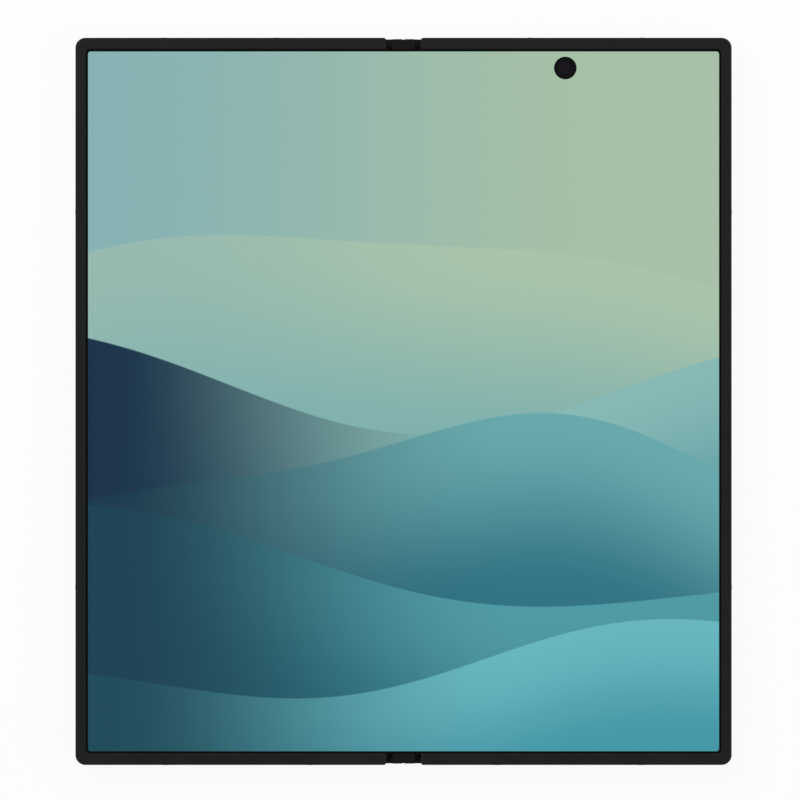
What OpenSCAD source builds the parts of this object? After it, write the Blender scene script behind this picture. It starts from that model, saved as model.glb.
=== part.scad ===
// Book-style folding phone, open flat with its inner screen up.
// X runs across the fold, +Y points to the top of the phone and +Z out of the inner screen.
// The origin is under the middle of the open phone, on the surface that it lies on.
// Right-hand pieces are drawn at +X; left-hand ones are the same shapes mirrored.
// Heights named z_ are measured up from the back plane of the two halves.

/* [Overall] */
// Height of the phone, along the fold
phone_h = 158.7; // [150:0.1:166]
// Width of the open phone
open_w = 143.2; // [136:0.2:150]
// Thickness of one half, back glass to bezel top
half_t = 4.2; // [4.1:0.05:4.6]
// Plan radius of the four outer corners
corner_r = 2.2; // [1.8:0.1:4]
// Chamfer along the back and front edges
edge_chamfer = 0.3; // [0.1:0.05:0.5]

/* [Inner display] */
// Width of the bezel beside the panel
bezel_side_w = 2.25; // [2.1:0.05:3.5]
// Width of the bezel above and below the panel
bezel_end_w = 2.5; // [2.1:0.05:3.5]
// How far the bezel runs past the rail's end, towards the fold
bezel_reach = 0.33; // [0:0.01:0.4]
// Thickness of the flexible panel
display_t = 0.4; // [0.3:0.05:0.5]
// Black border between the lit area and the bezel
border_w = 0.5; // [0.2:0.05:0.6]
// How far the panel runs in under the bezel
display_tuck = 0.4; // [0.2:0.05:0.45]
// How far the bezel stands above the panel
bezel_proud = 0.3; // [0.2:0.05:0.4]
// Thickness of the metal plate that backs the panel
support_t = 0.2; // [0.1:0.05:0.25]
// Distance from the fold to the stiff part of the panel
panel_start = 3.5; // [3.4:0.1:3.6]
// Radius of the hole for the inner camera
inner_cam_r = 2.41; // [1.8:0.01:2.8]
// Inner camera's distance from the fold
inner_cam_x = 35.3; // [20:0.1:40]
// Inner camera's distance from the top edge
inner_cam_drop = 6.6; // [6.4:0.1:10]

/* [Half frames] */
// Thickness of the rails round a half
rail_t = 1.6; // [1.4:0.1:1.8]
// Thickness of the mid plate that carries the display
mid_t = 0.4; // [0.3:0.05:0.5]
// Metal rim left visible round the rear glass
glass_rim = 0.75; // [0.5:0.05:1]
// Thickness of the rear glass and of the cover glass
glass_t = 0.55; // [0.4:0.05:0.7]
// Thickness of the wall beside the spine
hinge_wall = 0.6; // [0.4:0.05:1]
// Radius of a rail's end beside the fold
rail_end_r = 0.5; // [0.2:0.05:0.7]
// Width of an antenna band
band_w = 1.1; // [0.8:0.1:2]
// How far an antenna band stands out of the rail
band_proud = 0.05; // [0:0.01:0.1]

/* [Fold] */
// Gap between the bezels of the closed phone
fold_gap = 0.5; // [0.4:0.05:0.7]
// Height of both fold axes above the back plane
axis_z = 2.6; // [2.55:0.05:2.65]
// Height of the spine's underside above the back plane
spine_lift = 0.5; // [0.45:0.05:0.6]
// Wall of the spine cover
spine_wall = 0.35; // [0.25:0.05:0.4]
// Running gap between the spine and a half frame
cradle_gap = 0.12; // [0.08:0.01:0.16]
// Seam between the two frame lips under the spine
lip_seam = 0.12; // [0.1:0.01:0.5]
// How far the hinge's ends sit inside the phone's outline
end_recess = 0.3; // [0.2:0.05:0.5]
// Half width of an end cap's middle block
cap_half = 2.4; // [1.8:0.05:2.45]
// Thickness of an end cap's outer plate
cap_plate_t = 0.4; // [0.3:0.05:0.6]
// Width of the notch in the middle of an end cap
cap_notch_w = 0.6; // [0.3:0.05:1]
// Depth of that notch
cap_notch_d = 0.1; // [0.05:0.01:0.2]

/* [Hinge modules] */
// Distance from the middle module to each outer one
module_pitch = 50; // [40:1:56]
// Radius of a hinge pin
pin_r = 0.25; // [0.2:0.01:0.28]
// Radial running clearance of a barrel or gear on its pin
pin_clear = 0.03; // [0.02:0.005:0.05]
// Radius of an arm's barrel
barrel_r = 0.72; // [0.6:0.01:0.74]
// Length of a module along the fold
module_len = 8; // [7.8:0.1:10]
// Thickness of a bracket's outer cheeks
cheek_t = 0.8; // [0.5:0.05:0.9]
// Face width of a gear
gear_w = 1.2; // [0.8:0.05:1.3]
// Teeth on each gear
gear_teeth = 10; // [10:2:10]
// Thickness of an arm's plate
arm_t = 0.5; // [0.4:0.05:0.55]
// Length of an arm past the rail's end
arm_reach = 7; // [6:0.1:8]
// Length of an arm's barrel along the fold
arm_w = 3.4; // [3:0.1:3.4]
// Disc springs on each pin
washers = 4; // [2:1:4]
// Thickness of a disc spring
washer_t = 0.25; // [0.15:0.01:0.28]

/* [Rear cameras] */
// Length of the camera island
island_len = 52; // [50:0.5:56]
// Width of the camera island
island_w = 17; // [15:0.5:18]
// Height of the island below the back plane
island_h = 1.1; // [0.8:0.1:1.4]
// Height of a lens ring below the island
ring_h = 1.3; // [0.8:0.1:1.6]
// Outer radius of a lens ring
ring_r = 6.6; // [6:0.1:7.2]
// Wall of a lens ring
ring_wall = 0.9; // [0.6:0.05:1.2]
// Distance between neighbouring lenses
lens_pitch = 17; // [15:0.1:18]
// Distance of the lenses from the side edge
lens_inset = 13.6; // [12.6:0.1:15.6]
// Distance of the middle lens from the top edge
lens_drop = 33.2; // [32:0.5:38]
// Clear distance between the island and the flash
flash_gap = 2.3; // [1.8:0.1:5]
// Depth of a lens glass inside its ring
lens_sink = 0.25; // [0.1:0.05:0.5]
// Thickness of a lens glass
lens_t = 0.4; // [0.3:0.05:0.6]
// Radius of a camera barrel
barrel_cam_r = 4.6; // [3.5:0.1:5]
// Side of a camera's square base
cam_base = 11; // [9.5:0.1:12]
// Radius of the flash window
flash_r = 1.7; // [1.2:0.05:2]

/* [Keys and tray] */
// Length of the side key
side_key_len = 14; // [10:0.5:18]
// Middle of the side key, from the phone's middle
side_key_y = -7; // [-12:0.5:-4]
// Length of the volume key
volume_len = 24; // [18:0.5:26]
// Middle of the volume key, from the phone's middle
volume_y = 22; // [20:0.5:24]
// Height of a key, front to back
key_h = 1.9; // [1.5:0.1:2]
// Clearance round a key in its slot
key_clear = 0.1; // [0.08:0.01:0.15]
// Travel of a pressed key
key_travel = 0.25; // [0.15:0.05:0.3]
// Length of the tray's front along the rail
tray_w = 16; // [15:0.1:18]
// Length of the card tray
tray_len = 23; // [20:0.5:23.5]
// Thickness of the card tray
tray_t = 0.7; // [0.5:0.05:0.8]
// Middle of the tray, from the phone's middle
tray_y = -52; // [-56:0.5:-48]

/* [Charging port] */
// Width of the port's mouth
port_w = 8.34; // [8.3:0.01:8.6]
// Height of the port's mouth
port_h = 2.56; // [2.4:0.01:2.58]
// Depth of the port
port_depth = 6.6; // [6:0.1:7]
// Wall of the port's shell
port_wall = 0.08; // [0.06:0.01:0.1]

/* [Inside] */
// Thickness of the main cell
cell_right_t = 1.75; // [1.4:0.05:1.8]
// Thickness of the cell behind the cover screen
cell_left_t = 1.4; // [1:0.05:1.45]
// Height of the main cell, along the fold
cell_right_h = 64; // [50:1:66]
// Height of the cell behind the cover screen
cell_left_h = 88; // [80:1:98]
// Middle of the main cell, from the phone's middle
cell_right_y = -20; // [-22:1:-18]
// Middle of the cell behind the cover screen, from the phone's middle
cell_left_y = 10; // [8:1:12]
// Gap between a cell and the board beside it
cell_gap = 3; // [1:0.5:4]
// Thickness of a circuit board
board_t = 0.7; // [0.5:0.05:0.8]
// Thickness of the charging coil
coil_t = 0.25; // [0.15:0.01:0.3]
// Outer radius of the charging coil
coil_r = 20; // [16:0.5:24]
// Thickness of the cover screen's panel
cover_panel_t = 0.55; // [0.4:0.05:0.6]
// Width of the charging board
charge_board_w = 20; // [16:1:24]
// Room for the key switches between the cells and the rail
switch_room = 3.4; // [3:0.1:4]
// Side of the box of an inner or cover camera
cam_box = 6.4; // [5.6:0.1:6.6]
// Radius of the cover camera's lens
cover_cam_r = 1.9; // [1.5:0.1:2.1]
// Radius of the vibration motor
motor_r = 5; // [4:0.1:6]
// Width of the speakers
speaker_w = 14.5; // [14:0.1:15]
// Length of the bottom speaker, away from the edge
speaker_low_len = 13.8; // [10:0.1:15]
// Length of the top speaker, away from the edge
speaker_top_len = 12.8; // [9:0.1:14]
// Radius of a speaker hole
hole_r = 0.5; // [0.3:0.05:0.6]
// Distance between speaker holes
hole_pitch = 2.1; // [1.8:0.1:2.4]
// Radius of a microphone hole
mic_r = 0.35; // [0.2:0.05:0.4]
// Distance from the fold to the bottom microphone
mic_bottom_x = 28; // [24:0.5:30]
// Distance from the fold to the top microphone
mic_top_x = 46; // [44:0.5:47]
// Side of a microphone
mic_w = 3; // [2.5:0.1:3.5]
// Length of a closing magnet
magnet_len = 14; // [10:0.5:16]
// Thickness of a closing magnet
magnet_t = 1.2; // [0.8:0.1:1.4]
// Distance from the phone's middle to the closing magnets
magnet_y = 30; // [26:1:32]
// Width of the folding flat cables
cable_w = 6; // [4:0.5:8]
// Thickness of the folding flat cables
cable_t = 0.15; // [0.1:0.01:0.18]

/* [Hidden] */
$fn = 48;

// Overshoot of a cutting shape past the face that it cuts
over = 1;
// Overlap that joins two blocks of one solid
join = 0.01;
// Radial clearance of a pin or screw in its own hole
pin_seat = 0.01;
// Small gap between pieces that are glued or pressed together round a curve
seat_gap = 0.02;
// Gap between the bending strip of the panel and its stiff parts
strip_gap = 0.03;
// Glue line or thin gap between flat faces
glue_gap = 0.05;
// Gap between an inner piece and its neighbour
part_gap = 0.1;
// Gap between a tall inner piece and the glass side of the bay
bay_gap = 0.2;

// Levels above the back plane
back_z = island_h + ring_h;
z_display_top = half_t - bezel_proud;
z_display = z_display_top - display_t;
z_support = z_display - support_t;
z_mid = z_support - mid_t;
z_bay = glass_t + glue_gap;
z_rail_top = z_display + glue_gap;
z_overhang = z_display_top + glue_gap;
z_middle = (z_bay + z_mid) / 2;
z_cover_panel = glass_t + cover_panel_t;

// Fold geometry: each half turns about its own axis, beside the middle
axis_x = half_t + fold_gap / 2 - axis_z;
spine_r = axis_z - spine_lift;
cradle_r = spine_r + cradle_gap;
cradle_x = axis_x + cradle_r;
rail_setback = 0.08;
rail_end = cradle_x + rail_setback;
z_lip = axis_z - cradle_r;
cap_drop = 0.1;
z_cap = half_t - cap_drop;
end_y = phone_h / 2 - end_recess;
fold_plate_t = 0.1;
z_fold_plate = z_display - fold_plate_t;
strip_half = panel_start - strip_gap;
plate_setback = 0.4;

// Plan of a half
out_x = open_w / 2;
out_y = phone_h / 2;
bay_x0 = cradle_x + hinge_wall;
bay_x1 = out_x - rail_t;
bay_y = out_y - rail_t;
mid_x = (rail_end + out_x) / 2;
window_x = out_x - bezel_side_w;
window_y = out_y - bezel_end_w;
window_r = 1;
active_h = 2 * (window_y - border_w);
panel_x = window_x + display_tuck;
panel_y = window_y + display_tuck;
plain_r = 0.3;
glass_r_in = 0.5;
arm_x1 = rail_end + arm_reach;
arm_room = 1.5;
inner_x0 = arm_x1 + arm_room;
inner_x1 = bay_x1 - switch_room;
inner_cam_y = out_y - inner_cam_drop;

// Hinge modules: places along a module from its middle
module_ys = [-module_pitch, 0, module_pitch];
gear_r = axis_x / 3;
gear_tip = gear_r + 0.1;
gear_root = gear_r - 0.125;
tooth_foot = 0.7 * gear_root;
tip_w = 0.08;
pitch_w = 0.158;
root_w = 0.22;
gear_v = -module_len / 2 + cheek_t + part_gap;
arm_v = gear_v + gear_w;
web_v = arm_v + part_gap;
web_t = 0.6;
web_gap = 0.12;
web_half = axis_x - barrel_r - web_gap;
foot_t = 0.4;
washer_v = arm_v + arm_w + part_gap;
washer_step = (module_len / 2 - cheek_t - washer_v) / washers;
washer_r = 0.6;
arm_lift = 0.15;
z_arm = axis_z + arm_lift;
seat_t = 0.65;
seat_margin = 0.5;
screw_first = 2.4;
screw_step = 2.8;
screw_xs = [for (i = [0, 1]) rail_end + screw_first + i * screw_step];
screw_v = arm_v + arm_w / 2;
screw_r = 0.35;
screw_head_r = 0.7;
screw_head_t = 0.2;
cable_y = module_pitch / 2;
z_cable = axis_z + glue_gap;
cable_room = 0.3;
cable_lap = 0.35;

// Rear cameras
lens_x = out_x - lens_inset;
lens_y = out_y - lens_drop;
lens_ys = [lens_y - lens_pitch, lens_y, lens_y + lens_pitch];
z_ring = -back_z;
z_lens = z_ring + lens_sink;
z_lens_in = z_lens + lens_t;
barrel_gap = 0.2;
island_bore_r = barrel_cam_r + 2 * barrel_gap;
flash_x = lens_x - island_w / 2 - flash_gap - flash_r;
flash_y = lens_y + lens_pitch;

// Keys and tray
key_inset = 0.15;
key_t = rail_t - key_inset;
z_key = 2;
switch_x1 = out_x - key_t - key_travel - glue_gap;
switch_t = 1.4;
switch_w = 3;
switch_h = 1.5;
switch_drop = 0.1;
side_switches = [side_key_y];
volume_switches = [volume_y - volume_len / 3, volume_y + volume_len / 3];
tray_front_t = 1.5;
tray_shoulder = 0.8;
tray_inner_w = tray_w - 2 * tray_shoulder;
tray_x0 = out_x - tray_len;
z_tray = 2;
reader_wall = 0.25;
reader_end = 0.3;
reader_back = 0.7;
card_w = 12.4;
card_l = 8.9;
card_rim = 1.5;

// Charging port
port_x = mid_x;
z_port = z_support - pin_seat - port_wall - port_h / 2;
port_front = -out_y + 0.1;
port_end = port_front + port_depth;
port_room = 0.9;
tongue_w = 6.7;
tongue_t = 0.7;
tongue_start = 0.7;

// Inside pieces
cell_right_ys = span(cell_right_y, cell_right_h);
cell_left_ys = span(cell_left_y, cell_left_h);
cell_roof = 0.15;
board_roof = 0.3;
board_z = z_mid - board_roof - board_t;
board_y0 = cell_right_ys[1] + cell_gap;
board_end = 1.4;
board_y1 = bay_y - board_end;
board_x1 = lens_x - cam_base / 2 - cell_gap - 1;
board_margin = 2;
board_screw_r = 0.45;
board_head_t = 0.3;
shield_side = 4;
shield_low = 5;
shield_top = 12;
cam_lift = 0.6;
speaker_x0 = out_x - 19.6;
speaker_x = [speaker_x0, speaker_x0 + speaker_w];
speaker_xs = [for (i = [0:5]) speaker_x0 + 2 + hole_pitch * i];
motor_inset = 8;
mic_t = 1.6;
magnet_room = 0.3;
magnet_rail = 1.8;
band_side_ys = [41.4, -40.5];
band_top_xs = [27.7, out_x - 19.4];
band_bottom_xs = [20.4, out_x - 19.8];

// Two ends of a width about its middle
function span(middle, width) = [middle - width / 2, middle + width / 2];

// Puts what is drawn at +X on the left half
module left() {
  mirror([1, 0, 0]) children();
}

// Lifts what is drawn from a level above the back plane
module at_level(z) {
  translate([0, 0, back_z + z]) children();
}

// Box between two distances from the fold, two places along it and two levels
module block(x, y, z) {
  translate([x[0], y[0], back_z + z[0]]) cube([x[1] - x[0], y[1] - y[0], z[1] - z[0]]);
}

// Extrudes a section, drawn in X and height above the back plane, along the fold
module along_fold(y) {
  translate([0, y[1], back_z]) rotate([90, 0, 0]) linear_extrude(y[1] - y[0]) children();
}

// Upright round bar between two levels
module post(x, y, r, z) {
  translate([x, y, back_z + z[0]]) cylinder(h = z[1] - z[0], r = r);
}

// Plan of a plate with one radius on its fold side and another on its outer side
module plate_plan(x0, x1, y, r_in, r_out) {
  translate([x0 + r_in, -y]) square([x1 - r_out - x0 - r_in, 2 * y]);
  translate([x0, r_in - y]) square([r_in + join, 2 * (y - r_in)]);
  translate([x1 - r_out - join, r_out - y]) square([r_out + join, 2 * (y - r_out)]);
  for (s = [-1, 1]) {
    translate([x0 + r_in, s * (y - r_in)]) circle(r_in);
    translate([x1 - r_out, s * (y - r_out)]) circle(r_out);
  }
}

// Plan of a half's outline, drawn in by an inset
module half_plan(x0, inset) {
  plate_plan(x0, out_x - inset, out_y - inset, rail_end_r, corner_r - inset);
}

// Solid of a half's outline between two levels, with a chamfer at one of its faces
module half_solid(x0, z, chamfer_low, grow = 0) {
  full = chamfer_low ? [z[0] + edge_chamfer, z[1]] : [z[0], z[1] - edge_chamfer];
  hull() {
    at_level(full[0]) linear_extrude(full[1] - full[0]) half_plan(x0, -grow);
    at_level(z[0]) linear_extrude(z[1] - z[0]) half_plan(x0, edge_chamfer - grow);
  }
}

// Section of the spine: an arc about each fold axis, flat between them
module spine_section(r) {
  intersection() {
    union() {
      for (s = [-1, 1]) translate([s * axis_x, axis_z]) circle(r);
      translate([-axis_x, axis_z - r]) square([2 * axis_x, r]);
    }
    translate([-r - axis_x, axis_z - r - over]) square([2 * (r + axis_x), r + over]);
  }
}

// Room that a half leaves for the spine, over the lip
module spine_room() {
  along_fold([-out_y - over, out_y + over]) {
    translate([axis_x, axis_z]) circle(cradle_r);
    translate([-over, z_lip]) square([axis_x + over, 2 * half_t]);
    translate([0, axis_z]) square([cradle_x, 2 * half_t]);
  }
}

// Slots cut through a rail for the antenna bands of one half
module band_cuts() {
  for (y = band_side_ys) block([bay_x1, out_x + over], span(y, band_w), [-over, z_rail_top + over]);
  for (x = band_top_xs) block(span(x, band_w), [bay_y, out_y + over], [-over, z_rail_top + over]);
  for (x = band_bottom_xs) {
    block(span(x, band_w), [-out_y - over, -bay_y], [-over, z_rail_top + over]);
  }
}

// Ledge that the rear glass sits in
module glass_room() {
  at_level(-over) linear_extrude(over + z_bay)
    plate_plan(bay_x0, out_x - glass_rim, out_y - glass_rim, glass_r_in, corner_r - glass_rim);
}

// Plain half frame: rails, mid plate, spine cradle with its lip, and seats for the arms
module half_frame() {
  difference() {
    union() {
      difference() {
        union() {
          half_solid(rail_end, [0, z_rail_top], true);
          block([lip_seam / 2, bay_x0], [-end_y, end_y], [0, z_support]);
        }
        block([bay_x0, bay_x1], [-bay_y, bay_y], [z_bay - join, z_mid]);
        glass_room();
        block([-over, bay_x1], [-bay_y, bay_y], [z_support, half_t + over]);
        band_cuts();
      }
      for (y = module_ys) {
        block([bay_x0 - join, arm_x1 + seat_margin], span(y + screw_v, arm_w + 2 * seat_margin),
          [z_arm - seat_t, z_mid]);
      }
    }
    spine_room();
    for (y = module_ys) {
      block([0, arm_x1 + glue_gap], span(y + screw_v, arm_w + 2 * glue_gap), [z_arm, half_t + over]);
      for (x = screw_xs) post(x, y + screw_v, screw_r + pin_seat, [z_arm - over, z_arm + over]);
    }
    for (s = [-1, 1]) {
      block([0, bay_x0 + join], span(s * cable_y, cable_w + 2 * cable_room), [axis_z, z_mid]);
    }
  }
}

module frame_right() {
  color("#232425") difference() {
    half_frame();
    block([bay_x1 - over, out_x + over], span(side_key_y, side_key_len + 2 * key_clear),
      span(z_key, key_h + 2 * key_clear));
    block([bay_x1 - over, out_x + over], span(volume_y, volume_len + 2 * key_clear),
      span(z_key, key_h + 2 * key_clear));
    port_solid(port_wall + pin_seat, [-out_y - over, port_end + port_room]);
    block(span(port_x, port_w + 2 * seat_margin), [-bay_y, port_end + port_room], [z_mid - over, half_t]);
    for (x = speaker_xs) rail_hole(x, -1, hole_r);
    rail_hole(mic_bottom_x, -1, mic_r);
    rail_hole(mic_top_x, 1, mic_r);
    post(inner_cam_x, inner_cam_y, inner_cam_r + part_gap + glue_gap, [z_mid - over, half_t]);
  }
}

module frame_left() {
  color("#232425") left() difference() {
    half_frame();
    block([bay_x1 - over, out_x + over], span(tray_y, tray_w + 2 * key_clear),
      span(z_tray, key_h + 2 * key_clear));
    for (x = speaker_xs) rail_hole(x, 1, hole_r);
  }
}

// Round hole through the top rail (end 1) or the bottom rail (end -1)
module rail_hole(x, end, r) {
  translate([x, end * (out_y - rail_t / 2), back_z + z_middle]) rotate([90, 0, 0])
    cylinder(h = rail_t + 2 * over, r = r, center = true);
}

// Bezel of a half: it overlaps the panel's edge on three sides
module half_bezel() {
  difference() {
    half_solid(rail_end - bezel_reach, [z_rail_top, half_t], false);
    at_level(0) linear_extrude(half_t + over)
      plate_plan(-over, window_x, window_y, plain_r, window_r);
    at_level(0) linear_extrude(z_overhang)
      plate_plan(-over, panel_x + glue_gap, panel_y + glue_gap, plain_r, window_r);
  }
}

module bezel_right() {
  color("#1c1d1e") half_bezel();
}

module bezel_left() {
  color("#1c1d1e") left() half_bezel();
}

// Outline of the stiff part of the panel or of its support plate
module panel_slab(x0, inset, z) {
  at_level(z[0]) linear_extrude(z[1] - z[0])
    plate_plan(x0, panel_x - inset, panel_y - inset, glue_gap, window_r);
}

module display_right() {
  color("#7fb0ae") difference() {
    panel_slab(panel_start, 0, [z_display, z_display_top]);
    post(inner_cam_x, inner_cam_y, inner_cam_r, [0, half_t + over]);
  }
}

module display_left() {
  color("#84afb1") left() panel_slab(panel_start, 0, [z_display, z_display_top]);
}

// The strip of the same panel that lies over the hinge
module display_fold() {
  color("#9db9a0") block(span(0, 2 * strip_half), [-panel_y, panel_y], [z_display, z_display_top]);
}

module support_plate_right() {
  color("#8b8f92") difference() {
    panel_slab(panel_start + plate_setback, part_gap, [z_support, z_display]);
    post(inner_cam_x, inner_cam_y, inner_cam_r + part_gap, [0, half_t]);
  }
}

module support_plate_left() {
  color("#8b8f92") left() panel_slab(panel_start + plate_setback, part_gap, [z_support, z_display]);
}

// Plate that carries the strip of panel over the hinge
module fold_plate() {
  color("#8b8f92")
    block(span(0, 2 * (strip_half - part_gap)), span(0, active_h), [z_fold_plate, z_display]);
}

// Sheet of glass in the ledge of a half frame
module half_glass() {
  at_level(0) linear_extrude(glass_t) plate_plan(bay_x0 + strip_gap, out_x - glass_rim - strip_gap,
    out_y - glass_rim - strip_gap, glass_r_in, corner_r - glass_rim);
}

module back_glass() {
  color("#1b1d20") difference() {
    half_glass();
    for (y = lens_ys) post(lens_x, y, island_bore_r, [-over, glass_t + over]);
    post(flash_x, flash_y, flash_r + seat_gap, [-over, glass_t + over]);
  }
}

module cover_glass() {
  color("#0b0c0e") left() half_glass();
}

// Raised oval plate that the three lens rings stand on
module camera_island() {
  color("#1f2022") difference() {
    at_level(-island_h) linear_extrude(island_h) {
      for (s = [-1, 1]) {
        translate([lens_x, lens_y + s * (island_len - island_w) / 2]) circle(island_w / 2);
      }
      translate([lens_x - island_w / 2, lens_y - (island_len - island_w) / 2])
        square([island_w, island_len - island_w]);
    }
    for (y = lens_ys) post(lens_x, y, island_bore_r, [-island_h - over, over]);
  }
}

module camera_rings() {
  color("#3a3b3d") for (y = lens_ys) difference() {
    post(lens_x, y, ring_r, [z_ring, -island_h]);
    post(lens_x, y, ring_r - ring_wall, [z_ring - over, z_lens_in + seat_gap]);
    post(lens_x, y, barrel_cam_r + barrel_gap, [z_ring - over, over]);
  }
}

module camera_lenses() {
  color([0.05, 0.06, 0.09, 0.8]) for (y = lens_ys) {
    post(lens_x, y, ring_r - ring_wall - seat_gap, [z_lens, z_lens_in]);
  }
}

module camera_modules() {
  color("#26282b") for (y = lens_ys) {
    post(lens_x, y, barrel_cam_r, [z_lens_in + glue_gap, z_bay + part_gap]);
    block(span(lens_x, cam_base), span(y, cam_base), [z_bay + glue_gap, z_mid - glue_gap]);
  }
}

module flash_window() {
  color("#f1ead2") post(flash_x, flash_y, flash_r, [0, glass_t + bay_gap]);
}

module board_screw_places() {
  for (x = [inner_x0 + board_margin, board_x1 - board_margin],
       y = [board_y0 + board_margin, board_y1 - board_margin]) {
    translate([x, y, back_z]) children();
  }
}

module main_board() {
  color("#1d4a33") difference() {
    block([inner_x0, board_x1], [board_y0, board_y1], [board_z, board_z + board_t]);
    block(span(inner_cam_x, cam_box + 2 * seat_margin), [inner_cam_y - cam_box / 2 - seat_margin, out_y],
      [0, half_t]);
    board_screw_places() cylinder(h = half_t, r = board_screw_r + glue_gap);
  }
}

module board_shield() {
  color("#a7aaac") block([inner_x0 + shield_side, board_x1 - shield_side],
    [board_y0 + shield_low, board_y1 - shield_top], [z_bay + bay_gap, board_z]);
}

module board_screws() {
  color("#9a9da0") board_screw_places() {
    translate([0, 0, board_z - board_head_t]) cylinder(h = board_head_t, r = 2 * board_screw_r);
    translate([0, 0, board_z - join]) cylinder(h = z_mid - board_z + join, r = board_screw_r);
  }
}

module battery_right() {
  color("#35373a") block([inner_x0, inner_x1], cell_right_ys,
    [z_mid - cell_roof - cell_right_t, z_mid - cell_roof]);
}

module charging_coil() {
  color("#b0703a") difference() {
    post(mid_x, cell_right_y, coil_r, [z_bay, z_bay + coil_t]);
    post(mid_x, cell_right_y, coil_r / 2, [z_bay - over, z_bay + over]);
  }
}

module charging_board() {
  color("#1d4a33") block(span(port_x, charge_board_w),
    [port_end + port_room + seat_margin, cell_right_ys[0] - cell_gap], [board_z, board_z + board_t]);
}

// Rounded flat tube of the port: its mouth grown by an offset
module port_solid(grow, y) {
  h = port_h + 2 * grow;
  w = port_w + 2 * grow;
  along_fold(y) translate([port_x, z_port]) {
    square([w - h, h], center = true);
    for (s = [-1, 1]) translate([s * (w - h) / 2, 0]) circle(h / 2);
  }
}

module usb_socket() {
  color("#b4b7ba") difference() {
    port_solid(port_wall, [port_front, port_end + port_wall]);
    port_solid(0, [port_front - over, port_end]);
  }
  color("#101112") block(span(port_x, tongue_w), [port_front + tongue_start, port_end + join],
    span(z_port, tongue_t));
}

module bottom_speaker() {
  color("#2c2e30") block(speaker_x,
    [-bay_y + bay_gap, -bay_y + bay_gap + speaker_low_len], [z_bay + part_gap, z_mid - part_gap]);
}

module top_speaker() {
  color("#2c2e30") left() block(speaker_x,
    [bay_y - bay_gap - speaker_top_len, bay_y - bay_gap], [z_cover_panel + bay_gap, z_mid - part_gap]);
}

module vibration_motor() {
  color("#8d9093") post(inner_x0 + motor_r + 1, -bay_y + motor_inset, motor_r,
    [z_bay + bay_gap, z_mid - part_gap]);
}

module microphones() {
  color("#c6b46a") {
    block(span(mic_bottom_x, mic_w), [-bay_y + part_gap, -bay_y + mic_w], span(z_middle, mic_t));
    block(span(mic_top_x, mic_w), [board_y1 + part_gap, bay_y - part_gap], span(z_middle, mic_t));
  }
}

module side_key() {
  color("#232425") block([out_x - key_t, out_x], span(side_key_y, side_key_len),
    span(z_key, key_h));
}

module volume_key() {
  color("#232425") block([out_x - key_t, out_x], span(volume_y, volume_len),
    span(z_key, key_h));
}

module key_switches() {
  color("#c9ccce") for (y = concat(side_switches, volume_switches)) {
    block([switch_x1 - switch_t, switch_x1], span(y, switch_w), span(z_key - switch_drop, switch_h));
  }
}

// Square camera with a round lens that looks out at the front or the back
module small_camera(x, y, r, z_lens, z_base) {
  post(x, y, r, z_lens);
  block(span(x, cam_box), span(y, cam_box), z_base);
}

module inner_camera() {
  color("#0d0e10") small_camera(inner_cam_x, inner_cam_y, inner_cam_r - part_gap,
    [z_mid - bay_gap, z_display_top - glue_gap], [z_bay + cam_lift, z_mid - glue_gap]);
}

module cover_camera() {
  color("#0d0e10") left() small_camera(mid_x, inner_cam_y, cover_cam_r,
    [z_bay, z_mid - bay_gap], [z_cover_panel + part_gap, z_mid - glue_gap]);
}

module magnet_bars() {
  for (s = [-1, 1]) {
    block([inner_x1 + magnet_room, bay_x1 - magnet_rail], span(s * magnet_y, magnet_len),
      [z_mid - magnet_t, z_mid]);
  }
}

module magnets_right() {
  color("#7c7f82") magnet_bars();
}

module magnets_left() {
  color("#7c7f82") left() magnet_bars();
}

// Moulded bands that fill the slots in the rails
module antenna_bands() {
  difference() {
    intersection() {
      half_solid(rail_end, [0, z_rail_top], true, band_proud);
      band_cuts();
    }
    glass_room();
  }
}

module antenna_bands_right() {
  color("#2b2c2d") antenna_bands();
}

module antenna_bands_left() {
  color("#2b2c2d") left() antenna_bands();
}

module cover_display() {
  color("#101316") left() difference() {
    block([bay_x0 + seat_margin, bay_x1 - seat_margin], span(0, 2 * (bay_y - seat_margin)),
      [glass_t, z_cover_panel]);
    post(mid_x, inner_cam_y, cover_cam_r + bay_gap, [0, half_t]);
  }
}

module battery_left() {
  color("#35373a") left() block([inner_x0, inner_x1], cell_left_ys,
    [z_mid - part_gap - cell_left_t, z_mid - part_gap]);
}

module sub_board() {
  color("#1d4a33") left() block([inner_x0, tray_x0 - cell_gap], [-board_y1, cell_left_ys[0] - cell_gap],
    [board_z, board_z + board_t]);
}

module card_tray() {
  color("#232425") left() block([out_x - tray_front_t, out_x], span(tray_y, tray_w),
    span(z_tray, key_h));
  color("#8f9295") left() difference() {
    block([tray_x0, out_x - tray_front_t + join], span(tray_y, tray_inner_w), span(z_tray, tray_t));
    block([tray_x0 + card_rim, tray_x0 + card_rim + card_l], span(tray_y, card_w),
      [z_tray - tray_t / 4, z_tray + over]);
  }
}

module card_reader() {
  color("#9fa2a5") left() difference() {
    block([tray_x0 - reader_end - reader_back, bay_x1 - reader_end], span(tray_y, tray_w + 2 * reader_end),
      span(z_tray, tray_t + 2 * (part_gap + reader_wall)));
    block([tray_x0 - reader_end, bay_x1 + over], span(tray_y, tray_inner_w + 2 * part_gap),
      span(z_tray, tray_t + 2 * part_gap));
  }
}

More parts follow.
